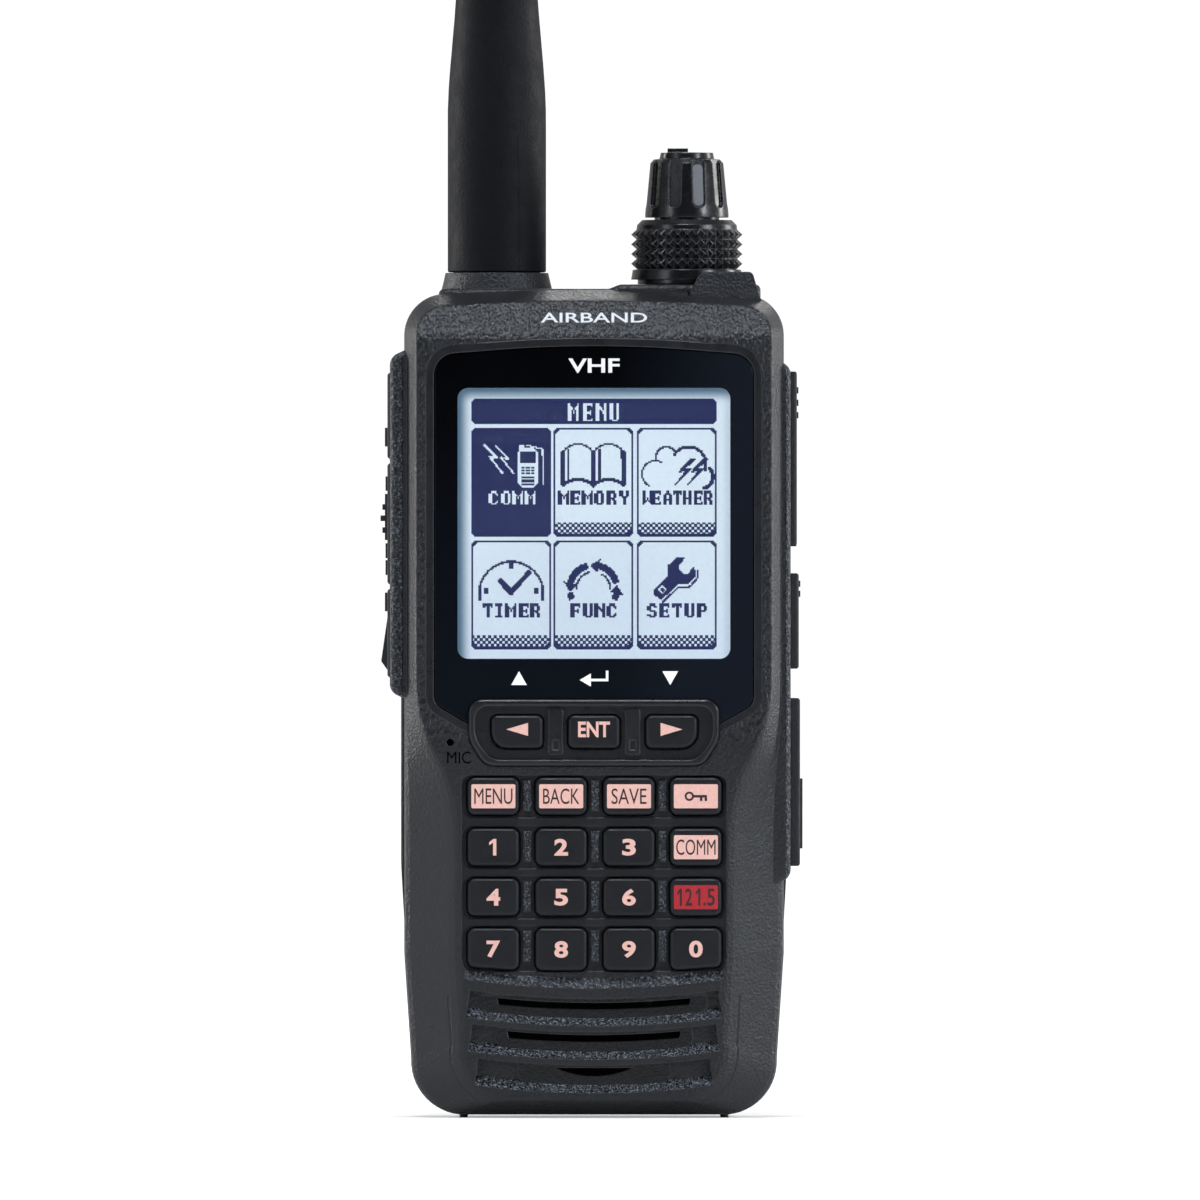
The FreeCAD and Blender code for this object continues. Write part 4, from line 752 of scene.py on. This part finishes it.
def legends():
    """Digits and words on the keys."""
    # pink and red print with a painted glow
    pink = ink("pink_print", (0.72, 0.43, 0.37), 0.5, (0.19, 0.11, 0.095))
    red = ink("red_print", (0.36, 0.012, 0.02), 0.5, (0.09, 0.004, 0.007))
    dark = ink("dark_print", (0.035, 0.014, 0.014), 0.5)
    front = KEY_FACE - SINK
    for node, digit in DIGIT_KEYS.items():
        place = middle(node)
        if digit == "1":
            one = figure_one(place.x - 0.1 * MM, place.z, 1.15 * MM, 2.65 * MM)
            plates(node + "_legend", [one], front, PRINT, pink, node)
        else:
            text_piece(node + "_legend", digit, place.x, place.z, 2.2 * MM, 2.7 * MM, front, pink,
                       node, 0.035)
    above = front - 0.02 * MM
    for node, word in WORD_KEYS.items():
        place = middle(node)
        window(node, front, pink)
        text_piece(node + "_legend", word, place.x, place.z, WORD_WIDTH[word], 2.5 * MM, above, dark,
                   node)
    emergency_legend(front, above, red, dark)
    lock_legend(front, pink, dark)
    nav_legends(front, pink)


def emergency_legend(front, above, red, dark):
    """121.5 on a red panel."""
    place = middle("emergency_key")
    window("emergency_key", front, red)
    tall = 2.75 * MM
    ones = [figure_one(place.x + x * MM, place.z, 0.75 * MM, tall) for x in (-2.6, 0.35)]
    plates("emergency_key_ones", ones, above, PRINT, dark, "emergency_key")
    for name, words, x, width in (("two", "2", -1.15, 1.15), ("point_five", ".5", 2.1, 1.85)):
        text_piece("emergency_key_" + name, words, place.x + x * MM, place.z, width * MM, tall, above,
                   dark, "emergency_key", 0.012)


def lock_legend(front, pink, dark):
    """Key-shaped sign: a ring and a shaft with two teeth."""
    place = middle("lock_key")
    window("lock_key", front, pink)
    z, steps = place.z, 24
    sign = []
    cx, outer, inner = place.x - 1.05 * MM, 0.75 * MM, 0.42 * MM
    for half in range(2):
        arc = [math.pi * (half + k / steps) for k in range(steps + 1)]
        sign.append([(cx + outer * math.cos(a), z + outer * math.sin(a)) for a in arc]
                    + [(cx + inner * math.cos(a), z + inner * math.sin(a)) for a in reversed(arc)])
    x0, x1, t = cx + outer * 0.95, place.x + 1.75 * MM, 0.2 * MM
    sign.append([(x0, z - t), (x1, z - t), (x1, z + t), (x0, z + t)])
    for x in (x1 - 0.35 * MM, x1 - 1.1 * MM):
        sign.append([(x, z - outer), (x + 2 * t, z - outer), (x + 2 * t, z - t), (x, z - t)])
    plates("lock_key_legend", sign, front - 0.02 * MM, PRINT, dark, "lock_key")


def nav_legends(front, pink):
    """Arrows and ENT on the navigation keys, a little above their middles."""
    lift = 0.4 * MM
    for node, way in (("left_key", -1), ("right_key", 1)):
        place = middle(node)
        z, reach = place.z + lift, way * 1.75 * MM
        points = [(place.x + reach, z), (place.x - reach, z + 1.05 * MM),
                  (place.x - reach, z - 1.05 * MM)]
        plates(node + "_legend", [points], front, PRINT, pink, node)
    place = middle("enter_key")
    text_piece("enter_key_legend", "ENT", place.x, place.z + lift, 5.1 * MM, 2.5 * MM, front, pink,
               "enter_key", 0.03)


# ---------------------------------------------------------------- marks, shade sheets, foam and label
KNOB_TURN = math.radians(18)            # the grey strip stands this far round from the front
KNOB_LEAN = math.atan(0.75 / 8.1)
KNOB_RADIUS = 6.1 * MM                  # at the foot of the grey strip
KNOB_FOOT = 145.3 * MM + FOOT


def microphone_word():
    # the raised moulded letters are painted near-black and without shine: painted shade of their relief
    dark = ink("painted_shade_word", (0.0015, 0.0015, 0.002), 0.8, shine=0.02)
    text_piece("microphone_word", "MIC", -21.6 * MM, 57.2 * MM + FOOT, 3.8 * MM, 1.9 * MM, FACE_Y - PRINT,
               dark, "radio", 0.0, 2 * PRINT)


def forehead_word():
    """Generic word that lies on the sloping forehead."""
    # silver print with a painted glow
    silver = ink("silver_word", (0.50, 0.51, 0.54), 0.3, (0.16, 0.165, 0.175))
    word = text_piece("forehead_word", "AIRBAND", 0, 0, 17.0 * MM, 2.0 * MM, 0, silver, "radio",
                      0.01, 0.3 * MM)
    far = Vector((0, -0.1, 127.6 * MM + FOOT))
    _, place, normal, _ = NODES["front_case"].ray_cast(far, Vector((0, 1, 0)))
    lean = math.atan2(normal.z, -normal.y)
    lift = Matrix.Translation(place + normal * 0.02 * MM)
    word.matrix_world = lift @ Matrix.Rotation(-lean, 4, "X")


def knob_index():
    """Grey strip in one of the knob's flutes."""
    low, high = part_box("volume_knob")
    axis = Vector(((low.x + high.x) / 2, (low.y + high.y) / 2, 0))
    grey = ink("flute_grey", (0.12, 0.123, 0.137), 0.4)
    index = plates("knob_index", [rounded(0, 3.7 * MM, 1.7 * MM, 6.6 * MM, 0.7 * MM)], -0.06 * MM,
                   0.1 * MM, grey, "volume_control")
    index.matrix_world = (Matrix.Translation(axis) @ Matrix.Rotation(KNOB_TURN, 4, "Z")
                          @ Matrix.Translation((0, -KNOB_RADIUS, KNOB_FOOT))
                          @ Matrix.Rotation(-KNOB_LEAN, 4, "X"))


def antenna_mould_line():
    """Fine raised line up the side of the whip's thick foot."""
    low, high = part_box("antenna_sheath")
    axis = Vector(((low.x + high.x) / 2, (low.y + high.y) / 2, 0))
    angle, r = math.radians(27), (high.x - low.x) / 2
    across = Vector((math.cos(angle), math.sin(angle), 0)) * 0.12 * MM
    out = Vector((math.sin(angle), -math.cos(angle), 0))
    verts = []
    for z in (low.z + 0.6 * MM, low.z + 22.0 * MM):
        for reach, side in ((-0.2, 1.5), (0.06, 0.5), (0.06, -0.5), (-0.2, -1.5)):
            verts.append(axis + out * (r + reach * MM) + across * side + Vector((0, 0, z)))
    sides = [[k, k + 4, (k + 1) % 4 + 4, (k + 1) % 4] for k in range(4)]
    mesh_piece("antenna_mould_line", verts, [[0, 1, 2, 3], [7, 6, 5, 4]] + sides,
               MATERIALS["antenna_rubber"], "antenna")


def speaker_cloth():
    """Black sheets inside the louvres, on both sides of the speaker: painted shade seen through the
    slots.
    """
    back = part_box("speaker")[0].y + 0.02 * MM
    sheets = [rounded(side * 13.3 * MM, 13.0 * MM, 8.2 * MM, 15.0 * MM, 0.5 * MM) for side in (-1, 1)]
    plates("speaker_cloth", sheets, back, 0.06 * MM, MATERIALS["speaker_metal"], "radio")


def battery_label():
    """Plain printed label in the shallow panel on the back, with generic words.
    Its pieces are made facing the front and then turned round to face the back."""
    panel_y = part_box("battery_case")[1].y - 0.4 * MM
    satin = ink("label_film", (0.022, 0.0225, 0.025), 0.35)
    pale = ink("label_ink", (0.33, 0.335, 0.35), 0.5)
    film_y = -(panel_y + 0.05 * MM)
    print_y = film_y - 0.02 * MM
    film = [rounded(0, 64 * MM, 35 * MM, 24 * MM, 1.5 * MM)]
    rules = [rounded(0, z * MM, 30 * MM, 0.3 * MM, 0.1 * MM) for z in (67.2, 59.0)]
    pieces = [plates("battery_label", film, film_y, 0.07 * MM, satin, "battery"),
              plates("label_rules", rules, print_y, PRINT, pale, "battery")]
    lines = (("BATTERY PACK", 70.6, 21.0, 2.3), ("RECHARGEABLE", 63.1, 19.0, 1.9))
    for k, (words, z, width, height) in enumerate(lines):
        pieces.append(text_piece(f"label_line_{k}", words, 0, z * MM, width * MM, height * MM, print_y,
                                 pale, "battery"))
    for piece in pieces:
        piece.matrix_world = Matrix.Rotation(math.pi, 4, "Z")


def battery_gasket():
    """Thin black foam strips on the chassis, which fill the gap in front of the battery."""
    foam = ink("gasket_foam", (0.004, 0.004, 0.005), 0.9, shine=0.0)
    out, front, thick = 28.4 * MM, 4.45 * MM, 0.22 * MM
    strips = [rounded(x, 53.5 * MM, 1.0 * MM, 87.0 * MM, 0.3 * MM) for x in (-out, out)]
    plates("battery_gasket", strips, front, thick, foam, "radio")


# ---------------------------------------------------------------- materials of the CAD nodes
MATERIALS = {
    "case_plastic": case_material(),
    "chassis_paint": chassis_material(),
    "battery_plastic": moulded("battery_plastic", (0.013, 0.0135, 0.016), 0.5 * MM, 0.10 * MM, 0.5),
    # keys: edge factor 6 paints their chamfers much lighter, a painted highlight as well as wear
    "key_rubber": moulded("key_rubber", (0.0065, 0.007, 0.0095), 0.25 * MM, 0.008 * MM, 0.42, 6.0,
                          0.45 * MM),
    "side_rubber": moulded("side_rubber", (0.013, 0.0135, 0.016), 0.45 * MM, 0.06 * MM, 0.55, 2.0,
                           0.4 * MM),
    "bezel_gloss": gloss_black("bezel_gloss"),
    "lens_clear": lens_material(),
    "lcd_glass": lcd_material(),
    "light_guide": ink("light_guide", (0.85, 0.9, 0.95), 0.4),
    # knob: edge factor 13 paints the edges of its flutes much lighter, a painted highlight as well as
    # wear
    "knob_plastic": moulded("knob_plastic", (0.006, 0.006, 0.007), 0.3 * MM, 0.006 * MM, 0.26, 13.0,
                            0.22 * MM, 0.5),
    "antenna_rubber": moulded("antenna_rubber", (0.004, 0.0042, 0.0058), 0.4 * MM, 0.05 * MM, 0.55,
                              shine=0.14),
    "seal_rubber": moulded("seal_rubber", (0.008, 0.008, 0.009), 0.4 * MM, 0.02 * MM, 0.6),
    "board_green": board_material(),
    "shield_steel": metal("shield_steel", (0.6, 0.6, 0.6), 0.3),
    "screw_steel": metal("screw_steel", (0.2, 0.2, 0.21), 0.35),
    "contact_brass": metal("contact_brass", (0.83, 0.62, 0.28), 0.25),
    # nearly lightless black; it is also used for the sheets that paint the shade in the louvre slots
    "speaker_metal": moulded("speaker_metal", (0.0008, 0.0008, 0.0008), 0.4 * MM, 0.05 * MM, 0.9,
                             shine=0.05),
    "cell_metal": moulded("cell_metal", (0.04, 0.12, 0.30), 0.6 * MM, 0.01 * MM, 0.35),
    "socket_plastic": moulded("socket_plastic", (0.008, 0.008, 0.009), 0.3 * MM, 0.02 * MM, 0.5),
}


def dress_nodes():
    """Give every CAD node the material of its slot in the record."""
    slots = {part["node"]: part["material_slot"] for part in frame["record"]["subparts"]}
    for name, node in NODES.items():
        node.data.materials.clear()
        node.data.materials.append(MATERIALS[slots[name]])


# ---------------------------------------------------------------- studio
def backdrop():
    """Wide pale floor, faintly lit from within so that it runs into the white surroundings."""
    steps, radius = 64, 9.0
    turns = [math.tau * k / steps for k in range(steps)]
    verts = [(radius * math.cos(a), radius * math.sin(a), 0) for a in turns]
    mesh = bpy.data.meshes.new("floor")
    mesh.from_pydata(verts, [], [list(range(steps))])
    floor = bpy.data.objects.new("floor", mesh)
    SCENE.collection.objects.link(floor)
    s = Shader("studio_white", (0.80, 0.80, 0.80), 0.8, Specular_IOR_Level=0.1)
    s.rough(s.ramp(s.noise(0.3), 0.3, 0.7, 0.75, 0.85))
    s.bsdf.inputs["Emission Color"].default_value = (1, 1, 1, 1)
    away = s.add("VectorMath", {"operation": "LENGTH"}, i0=s.where()).outputs["Value"]
    seen = s.add("LightPath").outputs["Is Camera Ray"]
    glow = s.math("MULTIPLY", seen, s.ramp(away, 0.25, 1.2, 0.35, 1.0))
    s.put(s.bsdf.inputs["Emission Strength"], glow)
    mesh.materials.append(s.material)


def area_light(name, place, target, size, power, colour=(1, 1, 1)):
    data = bpy.data.lights.new(name, "AREA")
    data.shape = "RECTANGLE"
    data.size, data.size_y = size
    data.energy = power
    data.color = colour
    lamp = bpy.data.objects.new(name, data)
    SCENE.collection.objects.link(lamp)
    lamp.location = place
    lamp.rotation_euler = (Vector(target) - Vector(place)).to_track_quat("-Z", "Y").to_euler()


def surroundings():
    """White to the camera. As light it is brightest behind the object, and dim in front and overhead."""
    world = bpy.data.worlds.new("studio")
    SCENE.world = world
    world.use_nodes = True
    tree = world.node_tree
    back = tree.nodes["Background"]
    place = tree.nodes.new("ShaderNodeTexCoord")
    parts = tree.nodes.new("ShaderNodeSeparateXYZ")
    tree.links.new(place.outputs["Generated"], parts.inputs[0])

    def fade(value, *ends):
        node = tree.nodes.new("ShaderNodeMapRange")
        node.interpolation_type = "SMOOTHSTEP"
        for socket, end in zip(node.inputs[1:5], ends):
            socket.default_value = end
        tree.links.new(value, node.inputs[0])
        return node.outputs[0]

    around = fade(parts.outputs[1], -0.95, 0.4, 0.02, 0.50)
    above = fade(parts.outputs[2], 0.10, 0.60, 1.0, 0.50)
    lit = tree.nodes.new("ShaderNodeMath")
    lit.operation = "MULTIPLY"
    tree.links.new(around, lit.inputs[0])
    tree.links.new(above, lit.inputs[1])
    choice = tree.nodes.new("ShaderNodeMix")
    tree.links.new(tree.nodes.new("ShaderNodeLightPath").outputs["Is Camera Ray"], choice.inputs[0])
    tree.links.new(lit.outputs[0], choice.inputs[2])
    choice.inputs[3].default_value = 1.05
    tree.links.new(choice.outputs[0], back.inputs["Strength"])
    back.inputs["Color"].default_value = (1, 1, 1, 1)


def studio():
    """Soft lights: one high in front, two from the front corners, two rims and one from behind."""
    surroundings()
    aim = (0, 0, 0.08)
    cool = (0.86, 0.92, 1.0)
    area_light("top_light", (-0.05, -0.42, 1.05), aim, (0.35, 0.25), 7.0, cool)
    area_light("key_right", (0.85, -0.70, 0.40), aim, (0.25, 0.50), 5.5, cool)
    area_light("fill_left", (-0.90, -0.80, 0.35), aim, (0.30, 0.6), 2.2, cool)
    area_light("rim_left", (-0.9, 0.35, 0.3), aim, (0.2, 0.8), 6)
    area_light("rim_right", (0.9, 0.35, 0.3), aim, (0.2, 0.8), 6)
    area_light("back_light", (0.2, 1.2, 0.9), aim, (0.6, 0.5), 4)


def camera():
    """Very long lens level with the object, looking along +Y."""
    distance, width = 6.0, 0.192        # width: of the whole picture, at the object
    centre_x, centre_z = 0.00096, 0.0829
    data = bpy.data.cameras.new("camera")
    data.lens = data.sensor_width * distance / width
    data.clip_start, data.clip_end = 0.1, 40
    eye = bpy.data.objects.new("camera", data)
    SCENE.collection.objects.link(eye)
    eye.location = (centre_x, FACE_Y - distance, centre_z)
    eye.rotation_euler = (math.radians(90), 0, 0)
    SCENE.camera = eye


SCENE.view_settings.view_transform = "Standard"
dress_nodes()
display_piece()
lens_print()
legends()
microphone_word()
forehead_word()
knob_index()
antenna_mould_line()
speaker_cloth()
battery_label()
battery_gasket()
backdrop()
studio()
camera()
